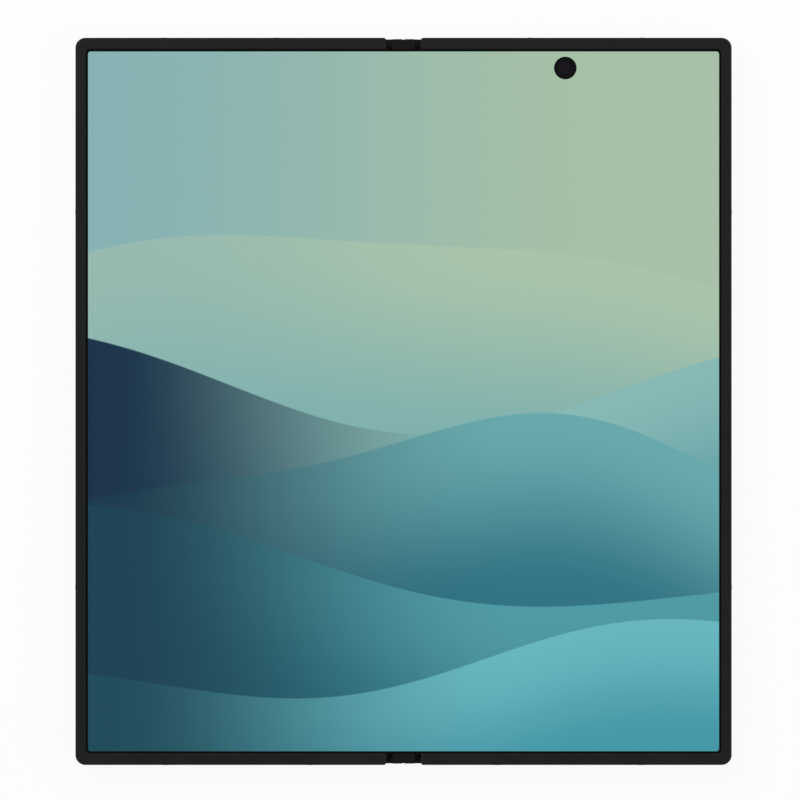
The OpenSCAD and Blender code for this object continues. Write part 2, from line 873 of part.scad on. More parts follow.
// Cross-section of a small gear with straight-flanked teeth
module gear_section(turn) {
  circle(gear_root);
  for (i = [0:gear_teeth - 1]) {
    rotate(turn + i * 360 / gear_teeth)
      polygon([[tooth_foot, -root_w / 2], [gear_r, -pitch_w / 2], [gear_tip, -tip_w / 2],
        [gear_tip, tip_w / 2], [gear_r, pitch_w / 2], [tooth_foot, root_w / 2]]);
  }
}

// Arm of one half in each module: a plate, its barrel on the pin, and its gear
module hinge_arms(turn) {
  for (y = module_ys) difference() {
    union() {
      block([axis_x, arm_x1], [y + arm_v, y + arm_v + arm_w], [z_arm, z_arm + arm_t]);
      along_fold([y + arm_v, y + arm_v + arm_w]) translate([axis_x, axis_z]) circle(barrel_r);
      along_fold([y + gear_v, y + arm_v + join]) translate([axis_x, axis_z]) gear_section(turn);
    }
    along_fold([y - module_len, y + module_len]) translate([axis_x, axis_z])
      circle(pin_r + pin_clear);
    for (x = screw_xs) {
      post(x, y + screw_v, screw_r + seat_gap, [z_arm - over, half_t]);
      post(x, y + screw_v, screw_head_r + glue_gap, [z_arm + arm_t - screw_head_t, half_t]);
    }
  }
}

module hinge_arms_right() {
  color("#9b9ea1") hinge_arms(180 / gear_teeth);
}

module hinge_arms_left() {
  color("#9b9ea1") left() hinge_arms(0);
}

module hinge_screws() {
  for (y = module_ys, x = screw_xs) {
    post(x, y + screw_v, screw_r, [z_arm - seat_t + glue_gap, z_arm + arm_t - screw_head_t]);
    post(x, y + screw_v, screw_head_r, [z_arm + arm_t - screw_head_t, z_arm + arm_t]);
  }
}

module hinge_screws_right() {
  color("#6f7275") hinge_screws();
}

module hinge_screws_left() {
  color("#6f7275") left() hinge_screws();
}

// Stretch of the folding cables that lies in a half
module hinge_cable_half() {
  for (s = [-1, 1]) {
    block([cradle_x - cable_lap, inner_x0 - bay_gap], span(s * cable_y, cable_w),
      [z_cable, z_cable + cable_t]);
  }
}

module hinge_cable_right() {
  color("#a8672c") hinge_cable_half();
}

module hinge_cable_left() {
  color("#a8672c") left() hinge_cable_half();
}

module spine_cover() {
  color("#28292b") along_fold(span(0, 2 * (end_y - cap_plate_t - glue_gap))) difference() {
    spine_section(spine_r);
    spine_section(spine_r - spine_wall);
  }
}

module end_caps() {
  color("#1b1b1c") for (s = [0, 1]) mirror([0, s, 0]) {
    difference() {
      along_fold([end_y - cap_plate_t, end_y]) {
        spine_section(spine_r);
        translate([-cap_half, axis_z - join]) square([2 * cap_half, z_cap - axis_z + join]);
      }
      block(span(0, cap_notch_w), [end_y - cap_notch_d, end_y + over], [-over, half_t + over]);
    }
    along_fold([panel_y + part_gap, end_y - cap_plate_t + join]) {
      spine_section(spine_r - spine_wall - seat_gap);
      translate([-cap_half, axis_z - join]) square([2 * cap_half, z_cap - axis_z + join]);
    }
    block(span(0, 2 * cap_half), [window_y, panel_y + part_gap + join], [z_overhang, z_cap]);
  }
}

// Bracket of a module: two cheeks, a web between the idlers and a foot on the spine's floor
module hinge_brackets() {
  z_floor = axis_z - spine_r + spine_wall;
  color("#84878a") for (y = module_ys) difference() {
    union() {
      block(span(0, 2 * axis_x), span(y, module_len), [z_floor, z_floor + foot_t]);
      for (v = [-module_len / 2, module_len / 2 - cheek_t]) along_fold([y + v, y + v + cheek_t]) {
        for (s = [-1, 1]) translate([s * axis_x, axis_z]) circle(barrel_r);
        translate([-axis_x, z_floor]) square([2 * axis_x, axis_z + barrel_r - z_floor]);
        translate([-web_half, z_floor]) square([2 * web_half, z_fold_plate - z_floor]);
      }
      along_fold([y + web_v, y + web_v + web_t]) translate([-web_half, z_floor])
        square([2 * web_half, z_fold_plate - z_floor]);
    }
    along_fold([y - module_len, y + module_len])
      for (s = [-1, 1]) translate([s * axis_x, axis_z]) circle(pin_r + pin_seat);
    along_fold([y - module_len, y + web_v + web_t + over])
      for (s = [-1, 1]) translate([s * axis_x / 3, axis_z]) circle(pin_r + pin_seat);
  }
}

module hinge_pins() {
  color("#c2c5c8") for (y = module_ys, s = [-1, 1]) {
    along_fold(span(y, module_len)) translate([s * axis_x, axis_z]) circle(pin_r);
  }
}

module idler_pins() {
  color("#c2c5c8") for (y = module_ys, s = [-1, 1]) {
    along_fold([y - module_len / 2, y + web_v + web_t]) translate([s * axis_x / 3, axis_z])
      circle(pin_r);
  }
}

// The three idler gears of one side, one in each module
module idler_gears(side, turn) {
  for (y = module_ys) along_fold([y + gear_v, y + arm_v - glue_gap]) translate([side * axis_x / 3, axis_z])
    difference() {
      gear_section(turn);
      circle(pin_r + pin_clear);
    }
}

module idler_gear_left() {
  color("#b5a05a") idler_gears(-1, 180 / gear_teeth);
}

module idler_gear_right() {
  color("#b5a05a") idler_gears(1, 0);
}

module friction_washers() {
  color("#b9bcbf") for (y = module_ys, s = [-1, 1], i = [0:washers - 1]) {
    along_fold([y + washer_v + i * washer_step, y + washer_v + i * washer_step + washer_t])
      translate([s * axis_x, axis_z]) difference() {
        circle(washer_r);
        circle(pin_r + pin_seat);
      }
  }
}

// Stretch of the folding cables that lies along the inside of the spine
module hinge_cable_spine() {
  r = spine_r - spine_wall - seat_gap;
  color("#a8672c") for (s = [-1, 1]) along_fold(span(s * cable_y, cable_w)) intersection() {
    difference() {
      spine_section(r);
      spine_section(r - cable_t);
    }
    translate([-open_w / 2, 0]) square([open_w, axis_z - glue_gap]);
  }
}

frame_right();
bezel_right();
display_right();
support_plate_right();
back_glass();
camera_island();
camera_rings();
camera_lenses();
camera_modules();
flash_window();
main_board();
board_shield();
board_screws();
battery_right();
charging_coil();
charging_board();
usb_socket();
bottom_speaker();
vibration_motor();
microphones();
side_key();
volume_key();
key_switches();
inner_camera();
magnets_right();
antenna_bands_right();
hinge_arms_right();
hinge_screws_right();
hinge_cable_right();
frame_left();
bezel_left();
display_left();
support_plate_left();
cover_glass();
cover_display();
cover_camera();
battery_left();
sub_board();
top_speaker();
card_tray();
card_reader();
magnets_left();
antenna_bands_left();
hinge_arms_left();
hinge_screws_left();
hinge_cable_left();
spine_cover();
end_caps();
hinge_brackets();
hinge_pins();
idler_pins();
idler_gear_left();
idler_gear_right();
friction_washers();
fold_plate();
display_fold();
hinge_cable_spine();
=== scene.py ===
"""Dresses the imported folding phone: shells, lit screen, cameras, finishes, studio and camera.

Lengths are in millimetres, in the frame's own axes, unless a comment says metres, and
become metres where a mesh is made. Outlines follow from the boxes of the frame's nodes.
"""
import logging
import math
from dataclasses import dataclass
from enum import Enum
from typing import Any, Callable, Sequence

import bmesh
import bpy
import numpy as np
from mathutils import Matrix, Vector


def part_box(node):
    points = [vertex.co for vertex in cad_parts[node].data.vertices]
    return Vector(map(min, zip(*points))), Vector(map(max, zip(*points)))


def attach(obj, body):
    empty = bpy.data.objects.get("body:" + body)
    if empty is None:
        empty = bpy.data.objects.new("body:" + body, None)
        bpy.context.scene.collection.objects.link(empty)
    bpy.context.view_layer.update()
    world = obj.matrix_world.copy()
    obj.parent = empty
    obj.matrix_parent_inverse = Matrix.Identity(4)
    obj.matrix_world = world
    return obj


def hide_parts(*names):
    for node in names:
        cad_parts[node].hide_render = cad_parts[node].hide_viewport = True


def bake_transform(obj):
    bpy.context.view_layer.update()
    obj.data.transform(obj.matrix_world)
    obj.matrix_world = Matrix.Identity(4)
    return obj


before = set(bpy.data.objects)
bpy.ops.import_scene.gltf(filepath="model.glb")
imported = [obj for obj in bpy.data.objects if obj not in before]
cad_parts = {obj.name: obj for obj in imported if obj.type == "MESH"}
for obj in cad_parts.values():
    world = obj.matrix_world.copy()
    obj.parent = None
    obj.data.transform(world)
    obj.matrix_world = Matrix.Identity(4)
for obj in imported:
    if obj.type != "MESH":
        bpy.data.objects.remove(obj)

logging.basicConfig(level=logging.INFO, format="%(message)s")
log = logging.getLogger("phone")

Colour = tuple[float, float, float]
Place = tuple[float, float, float]
Point = tuple[float, float]

MM = 0.001
QUARTER = math.pi / 2
MERGE = 1e-7            # metres within which points become one
NODE_MERGE = 2e-6       # the same on copies of nodes
BORDER = 0.5            # black line between the lit area and the bezel
TUCK = 0.4              # how far the panel runs in under the bezel
LIT_CORNER = 0.6        # radius of the lit area's corners
CRISP = 32.0            # an edge that bends by more degrees than this stays crisp
CRISP_TURNED = 28.0     # the same on turned pieces
CRISP_SOFTENED = 34.0   # the same on copies of nodes with rounded edges
CRISP_ROUNDED = 40.0    # the same on shells with a coarsely rounded edge
UV_SCREEN = "screen"    # UV map of the panel, from 0 to 1 over the lit area
UV_LATHE = "turned"     # UV map of turned pieces: angle and radius


class Side(Enum):
    """The two halves of the phone, by the sign of their X."""

    LEFT = -1
    RIGHT = 1

    @property
    def word(self) -> str:
        """Name of the half in the frame's node and body names."""
        return self.name.lower()

    @property
    def flip(self) -> np.ndarray:
        """Factors on X and Y that turn an outline of the right half into this half's."""
        return np.array([self.value, 1.0])


class Facing(Enum):
    """Which way a flat face or a lens looks, by the sign of its Z."""

    DOWN = -1
    UP = 1


@dataclass(frozen=True)
class Span:
    """Lowest and highest X, Y and Z of a node, in millimetres."""

    x0: float
    y0: float
    z0: float
    x1: float
    y1: float
    z1: float

    @staticmethod
    def of(node: str) -> "Span":
        """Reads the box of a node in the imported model."""
        low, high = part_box(node)
        return Span(*(float(c) / MM for c in (*low, *high)))

    @property
    def middle(self) -> Place:
        """Middle of the box."""
        return (self.x0 + self.x1) / 2, (self.y0 + self.y1) / 2, (self.z0 + self.z1) / 2

    @property
    def half(self) -> Place:
        """Half the box's size along each axis."""
        return (self.x1 - self.x0) / 2, (self.y1 - self.y0) / 2, (self.z1 - self.z0) / 2


# ---------------------------------------------------------------- shader tools


def math_method(operation: str, reflected: bool = False) -> Callable[..., "Signal"]:
    """Makes a method of Signal that adds a Math node.

    Args:
        operation: the node's operation.
        reflected: whether the signal is the second value and not the first.

    Returns:
        The method, which takes the node's other values.
    """

    def method(self: "Signal", *others: Any) -> "Signal":
        """Adds the node."""
        values = (*others, self) if reflected else (self, *others)
        return self.book.math(operation, *values)

    return method


class Signal:
    """A shader value that adds Math nodes when it is used in an expression."""

    def __init__(self, book: "NodeBook", socket: Any) -> None:
        """Wraps an output socket of a node in the given book."""
        self.book = book
        self.socket = socket

    __add__ = __radd__ = math_method("ADD")
    __sub__ = math_method("SUBTRACT")
    __rsub__ = math_method("SUBTRACT", reflected=True)
    __mul__ = __rmul__ = math_method("MULTIPLY")
    __truediv__ = math_method("DIVIDE")
    __pow__ = math_method("POWER")
    sine = math_method("SINE")
    size = math_method("ABSOLUTE")
    most = math_method("MAXIMUM")
    least = math_method("MINIMUM")

    def step(self, low: float, high: float) -> "Signal":
        """Smooth step from 0 at low to 1 at high, where high may be the smaller.

        Args:
            low: value at which the step starts.
            high: value at which it ends.

        Returns:
            A value from 0 to 1.
        """
        if high < low:
            return 1 - self.step(high, low)
        return self.book.node(
            "ShaderNodeMapRange", {"interpolation_type": "SMOOTHSTEP"},
            {"Value": self, "From Min": low, "From Max": high})


class Owner(Enum):
    """What a node tree belongs to: its list in bpy.data and its output node."""

    MATERIAL = ("materials", "ShaderNodeOutputMaterial")
    WORLD = ("worlds", "ShaderNodeOutputWorld")


class NodeBook:
    """The node tree of a material or a world, written as expressions."""

    def __init__(self, name: str, kind: Owner = Owner.MATERIAL) -> None:
        """Starts an empty tree with its output node.

        Args:
            name: name of the material or the world.
            kind: which of the two it is.
        """
        where, output = kind.value
        self.owner = getattr(bpy.data, where).new(name)
        self.owner.use_nodes = True
        self.tree = self.owner.node_tree
        self.tree.nodes.clear()
        self.output = self.tree.nodes.new(output)

    def plug(self, target: Any, value: Any) -> None:
        """Sets a socket, or links it.

        Args:
            target: the input socket.
            value: a number, vector or colour to set, or a signal to link.
        """
        if isinstance(value, Signal):
            self.tree.links.new(value.socket, target)
        elif target.type == "RGBA":
            target.default_value = (*value, 1.0)
        else:
            target.default_value = value

    def node(self, kind: str, settings: dict, inputs: dict, out: Any = 0) -> Signal:
        """Adds a node.

        Args:
            kind: the node's type.
            settings: its properties, set before its sockets.
            inputs: values or links, by socket name or number.
            out: name or number of the output that is wanted.

        Returns:
            The wanted output.
        """
        made = self.tree.nodes.new(kind)
        for key, value in settings.items():
            setattr(made, key, value)
        for key, value in inputs.items():
            self.plug(made.inputs[key], value)
        return Signal(self, made.outputs[out])

    def math(self, operation: str, *values: Any) -> Signal:
        """Adds a Math node."""
        return self.node("ShaderNodeMath", {"operation": operation}, dict(enumerate(values)))

    def place(self, stretch: Place = (1.0, 1.0, 1.0)) -> Signal:
        """Object coordinates in millimetres, times a stretch along each axis."""
        scale = tuple(s / MM for s in stretch)
        return self.node("ShaderNodeMapping", {}, {"Vector": self.spot(), "Scale": scale})

    def spot(self) -> Signal:
        """Object coordinates in metres."""
        return self.node("ShaderNodeTexCoord", {}, {}, "Object")

    def noise(self, vector: Signal, scale: float, detail: float = 2.0) -> Signal:
        """Noise of a given number of lumps a millimetre, from 0 to 1."""
        inputs = {"Vector": vector, "Scale": scale, "Detail": detail}
        return self.node("ShaderNodeTexNoise", {}, inputs)

    def cells(self, vector: Signal, scale: float) -> Signal:
        """Distance to the nearest point of a Voronoi pattern."""
        return self.node("ShaderNodeTexVoronoi", {}, {"Vector": vector, "Scale": scale})

    def uv(self, name: str) -> tuple[Signal, ...]:
        """The coordinates of a piece's own UV map."""
        return self.parts(self.node("ShaderNodeUVMap", {"uv_map": name}, {}))

    def parts(self, vector: Signal) -> tuple[Signal, ...]:
        """The three parts of a vector."""
        split = self.node("ShaderNodeSeparateXYZ", {}, {0: vector}).socket.node
        return tuple(Signal(self, out) for out in split.outputs)

    def blend(self, share: Any, first: Any, second: Any) -> Signal:
        """Mixes two colours: the first at a share of 0, the second at 1."""
        return self.node("ShaderNodeMix", {"data_type": "RGBA"}, {0: share, 6: first, 7: second}, 2)

    def shades(self, share: Any, colour: Colour, first: float, second: float) -> Signal:
        """Mixes two shades of one colour, each given as a factor on it."""
        return self.blend(share, shade(colour, first), shade(colour, second))

    def bump(self, height: Signal, depth: float) -> Signal:
        """Normal from a height from 0 to 1 that is worth a depth in millimetres."""
        inputs = {"Strength": 1.0, "Distance": depth * MM, "Height": height}
        return self.node("ShaderNodeBump", {}, inputs)

    def end(self, shader: Signal) -> Any:
        """Ends the tree in a shader and gives the material or the world back."""
        self.plug(self.output.inputs["Surface"], shader)
        return self.owner

    def principled(self, sockets: dict) -> bpy.types.Material:
        """Ends the tree in a Principled shader and gives the material back."""
        return self.end(self.node("ShaderNodeBsdfPrincipled", {}, sockets))


def srgb(code: str) -> Colour:
    """Linear colour of a six-digit code, as it should render."""
    parts = [int(code[k : k + 2], 16) / 255 for k in (0, 2, 4)]
    return tuple(c / 12.92 if c <= 0.04045 else ((c + 0.055) / 1.055) ** 2.4 for c in parts)


def shade(colour: Colour, by: float) -> Colour:
    """A colour times a factor."""
    return tuple(c * by for c in colour)


def rounded_distance(
    book: NodeBook, x: Signal, y: Signal, half_x: float, half_y: float, corner: float
) -> Signal:
    """Signed distance from a rounded rectangle's edge, in the units of x and y.

    The distance is the length of what lies past the corner's centre, less the corner's
    radius, and inside the straight stretches it is the larger of the two overhangs.

    Args:
        book: the material.
        x: distance from the middle, across.
        y: distance from the middle, up.
        half_x: half the width.
        half_y: half the height.
        corner: the corner's radius.

    Returns:
        A value under 0 inside and over 0 outside.
    """
    dx = x.size() - (half_x - corner)
    dy = y.size() - (half_y - corner)
    outside = (dx.most(0.0) ** 2 + dy.most(0.0) ** 2) ** 0.5
    return outside + dx.most(dy).least(0.0) - corner


# ---------------------------------------------------------------- finishes


@dataclass(frozen=True)
class Blasted:
    """Fine-blasted and dyed metal, with the faint cloudiness of handling."""

    name: str
    colour: Colour
    metallic: float = 0.9
    roughness: float = 0.36
    depth: float = 0.004

    def material(self) -> bpy.types.Material:
        """Pits about 0.08 mm wide, over slow clouds in the roughness.

        Returns:
            The material.
        """
        book = NodeBook(self.name)
        place = book.place()
        pits = book.noise(place, 12.0, 3.0)
        cloud = book.noise(place, 0.06, 3.0)
        return book.principled({
            "Base Color": book.shades(cloud, self.colour, 0.9, 1.12),
            "Metallic": self.metallic,
            "Roughness": self.roughness + 0.10 * (pits - 0.5) + 0.08 * (cloud - 0.5),
            "Normal": book.bump(pits, self.depth),
        })


@dataclass(frozen=True)
class CapCoating:
    """Dull black coating of the hinge's ends, painted paler low down in the gap: painted light that
    lifts the shade there.
    """

    name: str
    crown: Colour
    # painted light: a paler tone below edge_z, where the gap lies in shade
    painted_light_flank: Colour
    edge_z: float

    def material(self) -> bpy.types.Material:
        """Fine specks over a tone that changes with the height; the paler low tone is painted light.

        Returns:
            The material.
        """
        book = NodeBook(self.name)
        place = book.place()
        _, _, z = book.parts(place)
        speck = book.noise(place, 10.0, 2.0)
        # painted light: the tone turns from the paler low flank below edge_z to the crown above
        tone = book.blend(z.step(self.edge_z, self.edge_z + 0.3), self.painted_light_flank, self.crown)
        return book.principled({
            "Base Color": book.blend(speck * 0.3, tone, shade(self.crown, 0.5)),
            "Roughness": 0.5 + 0.1 * (speck - 0.5),
            "Specular IOR Level": 0.08,
            "Normal": book.bump(speck, 0.003),
        })


@dataclass(frozen=True)
class Brushed:
    """Metal or film with a straight grain."""

    name: str
    colour: Colour
    along: Place = (1.0, 0.03, 1.0)
    roughness: float = 0.3
    metallic: float = 1.0

    def material(self) -> bpy.types.Material:
        """Noise drawn out along the grain gives fine lines in tone, gloss and height.

        Returns:
            The material.
        """
        book = NodeBook(self.name)
        lines = book.noise(book.place(self.along), 9.0, 4.0)
        broad = book.noise(book.place(self.along), 1.3, 2.0)
        return book.principled({
            "Base Color": book.shades(lines, self.colour, 0.78, 1.2),
            "Metallic": self.metallic,
            "Roughness": self.roughness + 0.16 * (lines - 0.5) + 0.06 * (broad - 0.5),
            "Normal": book.bump(lines, 0.003),
        })


@dataclass(frozen=True)
class Turned:
    """Metal turned on a lathe: its rings follow the piece's own UV radius."""

    name: str
    colour: Colour
    roughness: float = 0.25
    rings: float = 60.0

    def material(self) -> bpy.types.Material:
        """Sine grooves in the radius, broken up a little by noise.

        Returns:
            The material.
        """
        book = NodeBook(self.name)
        radius = book.uv(UV_LATHE)[1]
        grain = book.noise(book.place(), 3.0, 2.0)
        groove = (radius * self.rings + grain * 2.0).sine() * 0.5 + 0.5
        return book.principled({
            "Base Color": book.shades(groove, self.colour, 0.85, 1.15),
            "Metallic": 1.0,
            "Roughness": self.roughness + 0.1 * groove,
            "Normal": book.bump(groove, 0.002),
        })


@dataclass(frozen=True)
class Moulded:
    """Matt moulded plastic or rubber with a fine spark texture."""

    name: str
    colour: Colour
    roughness: float = 0.55
    depth: float = 0.006
    grain: float = 7.0
    shine: float = 0.4

    def material(self) -> bpy.types.Material:
        """Rounded cells for the texture, slow noise for the tone.

        Returns:
            The material.
        """
        book = NodeBook(self.name)
        place = book.place()
        cells = book.cells(place, self.grain)
        slow = book.noise(place, 0.2, 3.0)
        return book.principled({
            "Base Color": book.shades(slow, self.colour, 0.88, 1.12),
            "Roughness": self.roughness + 0.12 * (slow - 0.5) + 0.06 * cells,
            "Specular IOR Level": self.shine,
            "Normal": book.bump(cells, self.depth),
        })


@dataclass(frozen=True)
class SatinGlass:
    """Back-painted glass with an etched surface, and faint finger marks."""

    name: str
    colour: Colour
    roughness: float = 0.28
    smears: float = 0.12

    def material(self) -> bpy.types.Material:
        """Etch grain in the normal, broad smears in the roughness, specks in the paint.

        Returns:
            The material.
        """
        book = NodeBook(self.name)
        place = book.place()
        etch = book.noise(place, 25.0, 2.0)
        smear = book.noise(book.place((1.0, 0.45, 1.0)), 0.09, 4.0)
        speck = book.cells(place, 9.0).step(0.12, 0.0)
        return book.principled({
            "Base Color": book.shades(speck * 0.35, self.colour, 1.0, 2.6),
            "Roughness": self.roughness + self.smears * (smear - 0.5) + 0.05 * (etch - 0.5),
            "Specular IOR Level": 0.4,
            "Coat Weight": 0.12 + 0.1 * smear,
            "Coat Roughness": 0.12,
            "Normal": book.bump(etch, 0.0012),
        })


@dataclass(frozen=True)
class DarkGlass:
    """Clear glass over a dark screen that is off: the glass's border is painted black."""

    name: str
    panel: Colour
    half_x: float
    half_y: float
    centre_x: float
    corner: float = 2.0

    def material(self) -> bpy.types.Material:
        """A rounded rectangle of screen, a shade lighter than the painted border.

        Returns:
            The material.
        """
        book = NodeBook(self.name)
        place = book.place()
        x, y, _ = book.parts(place)
        away = rounded_distance(book, x - self.centre_x, y, self.half_x, self.half_y, self.corner)
        smear = book.noise(book.place((0.5, 1.0, 1.0)), 0.1, 4.0)
        dots = book.cells(place, 14.0).step(0.35, 0.1)
        screen = book.shades(dots * 0.5, self.panel, 1.0, 1.5)
        return book.principled({
            "Base Color": book.blend(away.step(-0.05, 0.05), screen, srgb("050506")),
            "Roughness": 0.06 + 0.05 * smear,
            "Specular IOR Level": 0.4,
            "Coat Weight": 0.1 + 0.1 * smear,
            "Coat Roughness": 0.03,
        })


@dataclass(frozen=True)
class ClearLens:
    """Thin coated glass that shows what lies behind it."""

    name: str
    tint: Colour
    alpha: float
    shine: float = 0.8
    coat: float = 1.0

    def material(self) -> bpy.types.Material:
        """The colour turns from the tint to violet towards the lens's edge: a painted reflection of
        the coating.

        Returns:
            The material.
        """
        book = NodeBook(self.name)
        edge = book.uv(UV_LATHE)[1].step(0.0, 5.5)
        return book.principled({
            # painted reflection: violet towards the edge, where the coating reflects
            "Base Color": book.blend(edge, self.tint, srgb("201a33")),
            "Roughness": 0.02 + 0.02 * book.noise(book.place(), 0.6, 2.0),
            "Specular IOR Level": self.shine,
            "Alpha": self.alpha,
            "Coat Weight": self.coat,
            "Coat Roughness": 0.02,
        })


@dataclass(frozen=True)
class LensStack:
    """Barrel and inner lenses of a camera, in bands of the piece's own UV radius.

    A band's place is a share of reach. The lens has painted glints, a bright ring near its
    rim and a tinted centre that stand in for the coating's reflections, with plain glass
    between them, and the body round it is grooved.
    """

    name: str
    reach: float
    # painted glints: rim_glint and centre_glint stand in for the coating's reflections
    rim_glint: Colour = (0.055, 0.035, 0.12)
    centre_glint: Colour = (0.012, 0.02, 0.05)
    glass: Colour = (0.0018, 0.0018, 0.0037)
    body: Colour = (0.005, 0.005, 0.0055)
    shine: float = 0.3
    coat: float = 0.6

    def material(self) -> bpy.types.Material:
        """Dark anodised steps outside, a coated lens in the middle with a painted glint at its edge.

        Returns:
            The material.
        """
        book = NodeBook(self.name)
        radius = book.uv(UV_LATHE)[1]
        share = radius / self.reach
        lens = share.step(0.50, 0.47)
        rim = share.step(0.30, 0.42) * share.step(0.50, 0.46)
        grooves = (radius * 42.0).sine() * 0.5 + 0.5
        # painted glint: a bright ring over the plain glass, then a tinted centre
        glass = book.blend(rim, self.glass, self.rim_glint)
        glass = book.blend(share.step(0.28, 0.05), glass, self.centre_glint)
        return book.principled({
            "Base Color": book.blend(lens, book.shades(grooves, self.body, 0.7, 1.6), glass),
            "Roughness": 0.45 - 0.40 * lens,
            "Specular IOR Level": self.shine,
            "Coat Weight": lens * self.coat,
            "Coat Roughness": 0.02,
        })


@dataclass(frozen=True)
class SolderMask:
    """Circuit board: mask over tracks, with bare gold pads."""

    name: str
    colour: Colour

    def material(self) -> bpy.types.Material:
        """Tracks are the joints of a brick pattern; pads are the middles of cells.

        Returns:
            The material.
        """
        book = NodeBook(self.name)
        place = book.place()
        track = book.node(
            "ShaderNodeTexBrick", {"offset": 0.5},
            {"Vector": place, "Scale": 0.35, "Mortar Size": 0.06}, "Fac")
        pad = book.cells(place, 0.8).step(0.16, 0.12)
        mask = book.shades(track, self.colour, 1.0, 1.9)
        return book.principled({
            "Base Color": book.blend(pad, mask, srgb("b9974a")),
            "Metallic": pad,
            "Roughness": 0.42 - 0.12 * pad,
            "Normal": book.bump(track.most(pad), 0.03),
        })


@dataclass(frozen=True)
class FoilWrap:
    """Cell in black foil with slight wrinkles."""

    name: str
    colour: Colour

    def material(self) -> bpy.types.Material:
        """Wrinkles are broad noise in the height, over the foil's fine grain.

        Returns:
            The material.
        """
        book = NodeBook(self.name)
        place = book.place()
        wrinkle = book.noise(place, 0.12, 5.0)
        grain = book.noise(place, 5.0, 2.0)
        return book.principled({
            "Base Color": book.shades(grain, self.colour, 0.85, 1.15),
            "Roughness": 0.38 + 0.15 * (wrinkle - 0.5),
            "Normal": book.bump(wrinkle, 0.12),
        })


@dataclass(frozen=True)
class WoundCopper:
    """Flat coil of enamelled wire, its turns drawn round a centre."""

    name: str
    colour: Colour
    centre: Point
    pitch: float = 0.55

    def material(self) -> bpy.types.Material:
        """One sine ridge for each turn of wire.

        Returns:
            The material.
        """
        book = NodeBook(self.name)
        x, y, _ = book.parts(book.place())
        across = ((x - self.centre[0]) ** 2 + (y - self.centre[1]) ** 2) ** 0.5
        turn = (across * (2 * math.pi / self.pitch)).sine() * 0.5 + 0.5
        return book.principled({
            "Base Color": book.shades(turn, self.colour, 0.45, 1.0),
            "Metallic": 0.9,
            "Roughness": 0.4 - 0.12 * turn,
            "Normal": book.bump(turn, 0.1),
        })


@dataclass(frozen=True)
class Dune:
    """One rolling layer of the picture on the screen, from its crest down.

    Level, swell and depth are shares of the lit area's height, waves counts the crests
    over its width and shift is a share of a wave. Dim tells how dark the shade gets.
    """

    level: float
    swell: float
    waves: float
    shift: float
    crest: str
    foot: str
    depth: float
    shade: str
    dim: float


@dataclass(frozen=True)
class LitPanel:
    """The lit screen: a picture of rolling layers inside a black border, under a clear film."""

    name: str
    half_x: float
    half_y: float
    hole: Place
    sky: tuple[str, str] = ("86b2b3", "a6bfa6")
    dunes: tuple[Dune, ...] = (
        Dune(0.69, 0.055, 0.60, 0.02, "a9c3a9", "7db0ad", 0.30, "7fb0b4", 0.5),
        Dune(0.55, 0.075, 0.52, 0.46, "86b8b4", "4f96a2", 0.28, "17324a", 1.0),
        Dune(0.40, 0.070, 0.66, 0.83, "68a8ac", "2f7384", 0.26, "183a4d", 1.0),
        Dune(0.27, 0.065, 0.50, 0.30, "4f9aa4", "2f7787", 0.24, "1a4252", 1.0),
        Dune(0.13, 0.050, 0.62, 0.62, "66b6bf", "4497a6", 0.18, "1d4b59", 1.0),
    )

    def picture(self, book: NodeBook, u: Signal, v: Signal) -> Signal:
        """Lays the layers over each other, far ones first.

        Each crest is a sine wave with half a wave of twice the count on it, and a layer
        fades from its crest's colour to its foot's over its depth. The left of the lower
        layers falls off into shade.

        Args:
            book: the material.
            u: 0 at the left edge of the lit area, 1 at the right.
            v: 0 at its bottom, 1 at its top.

        Returns:
            The picture's colour.
        """
        colour = book.blend(u.step(0.0, 0.85), srgb(self.sky[0]), srgb(self.sky[1]))
        for dune in self.dunes:
            turn = 2 * math.pi * dune.waves
            wave = (u * turn + 2 * math.pi * dune.shift).sine()
            ripple = (u * (2 * turn) + 1.3).sine()
            under = dune.level + dune.swell * wave + 0.3 * dune.swell * ripple - v
            layer = book.blend(under.step(0.0, dune.depth), srgb(dune.crest), srgb(dune.foot))
            layer = book.blend(u.step(0.7, 0.03) * dune.dim, layer, srgb(dune.shade))
            colour = book.blend(under.step(-0.0012, 0.0012), colour, layer)
        return colour

    def material(self) -> bpy.types.Material:
        """Emits the picture in the lit area, and nothing in the border and round the hole.

        Returns:
            The material.
        """
        book = NodeBook(self.name)
        u, v, _ = book.uv(UV_SCREEN)
        x = (u - 0.5) * (2 * self.half_x)
        y = (v - 0.5) * (2 * self.half_y)
        away = rounded_distance(book, x, y, self.half_x, self.half_y, LIT_CORNER)
        hole_x, hole_y, hole_r = self.hole
        across = ((x - hole_x) ** 2 + (y - hole_y) ** 2) ** 0.5
        dark = away.step(-0.06, 0.06).most(across.step(hole_r + 0.10, hole_r + 0.02))
        film = book.noise(book.place(), 0.15, 3.0)
        return book.principled({
            "Base Color": (0.0015, 0.0015, 0.0017),
            "Roughness": 0.16 + 0.05 * film,
            "Specular IOR Level": 0.15,
            "Emission Color": book.blend(dark, self.picture(book, u, v), (0.0, 0.0, 0.0)),
            "Emission Strength": 1.0,
        })


# ---------------------------------------------------------------- mesh tools


def arc(centre: Point, radius: float, start: float, end: float, count: int) -> np.ndarray:
    """Points from one angle in degrees to another: centre plus radius times (cos a, sin a)."""
    a = np.radians(np.linspace(start, end, count))
    return np.stack([centre[0] + radius * np.cos(a), centre[1] + radius * np.sin(a)], 1)


def circle(centre: Point, radius: float, count: int = 64) -> np.ndarray:
    """Points evenly round a circle: the centre plus radius times (cos a, sin a)."""
    a = np.linspace(0, 2 * math.pi, count, endpoint=False)
    return np.stack([centre[0] + radius * np.cos(a), centre[1] + radius * np.sin(a)], 1)


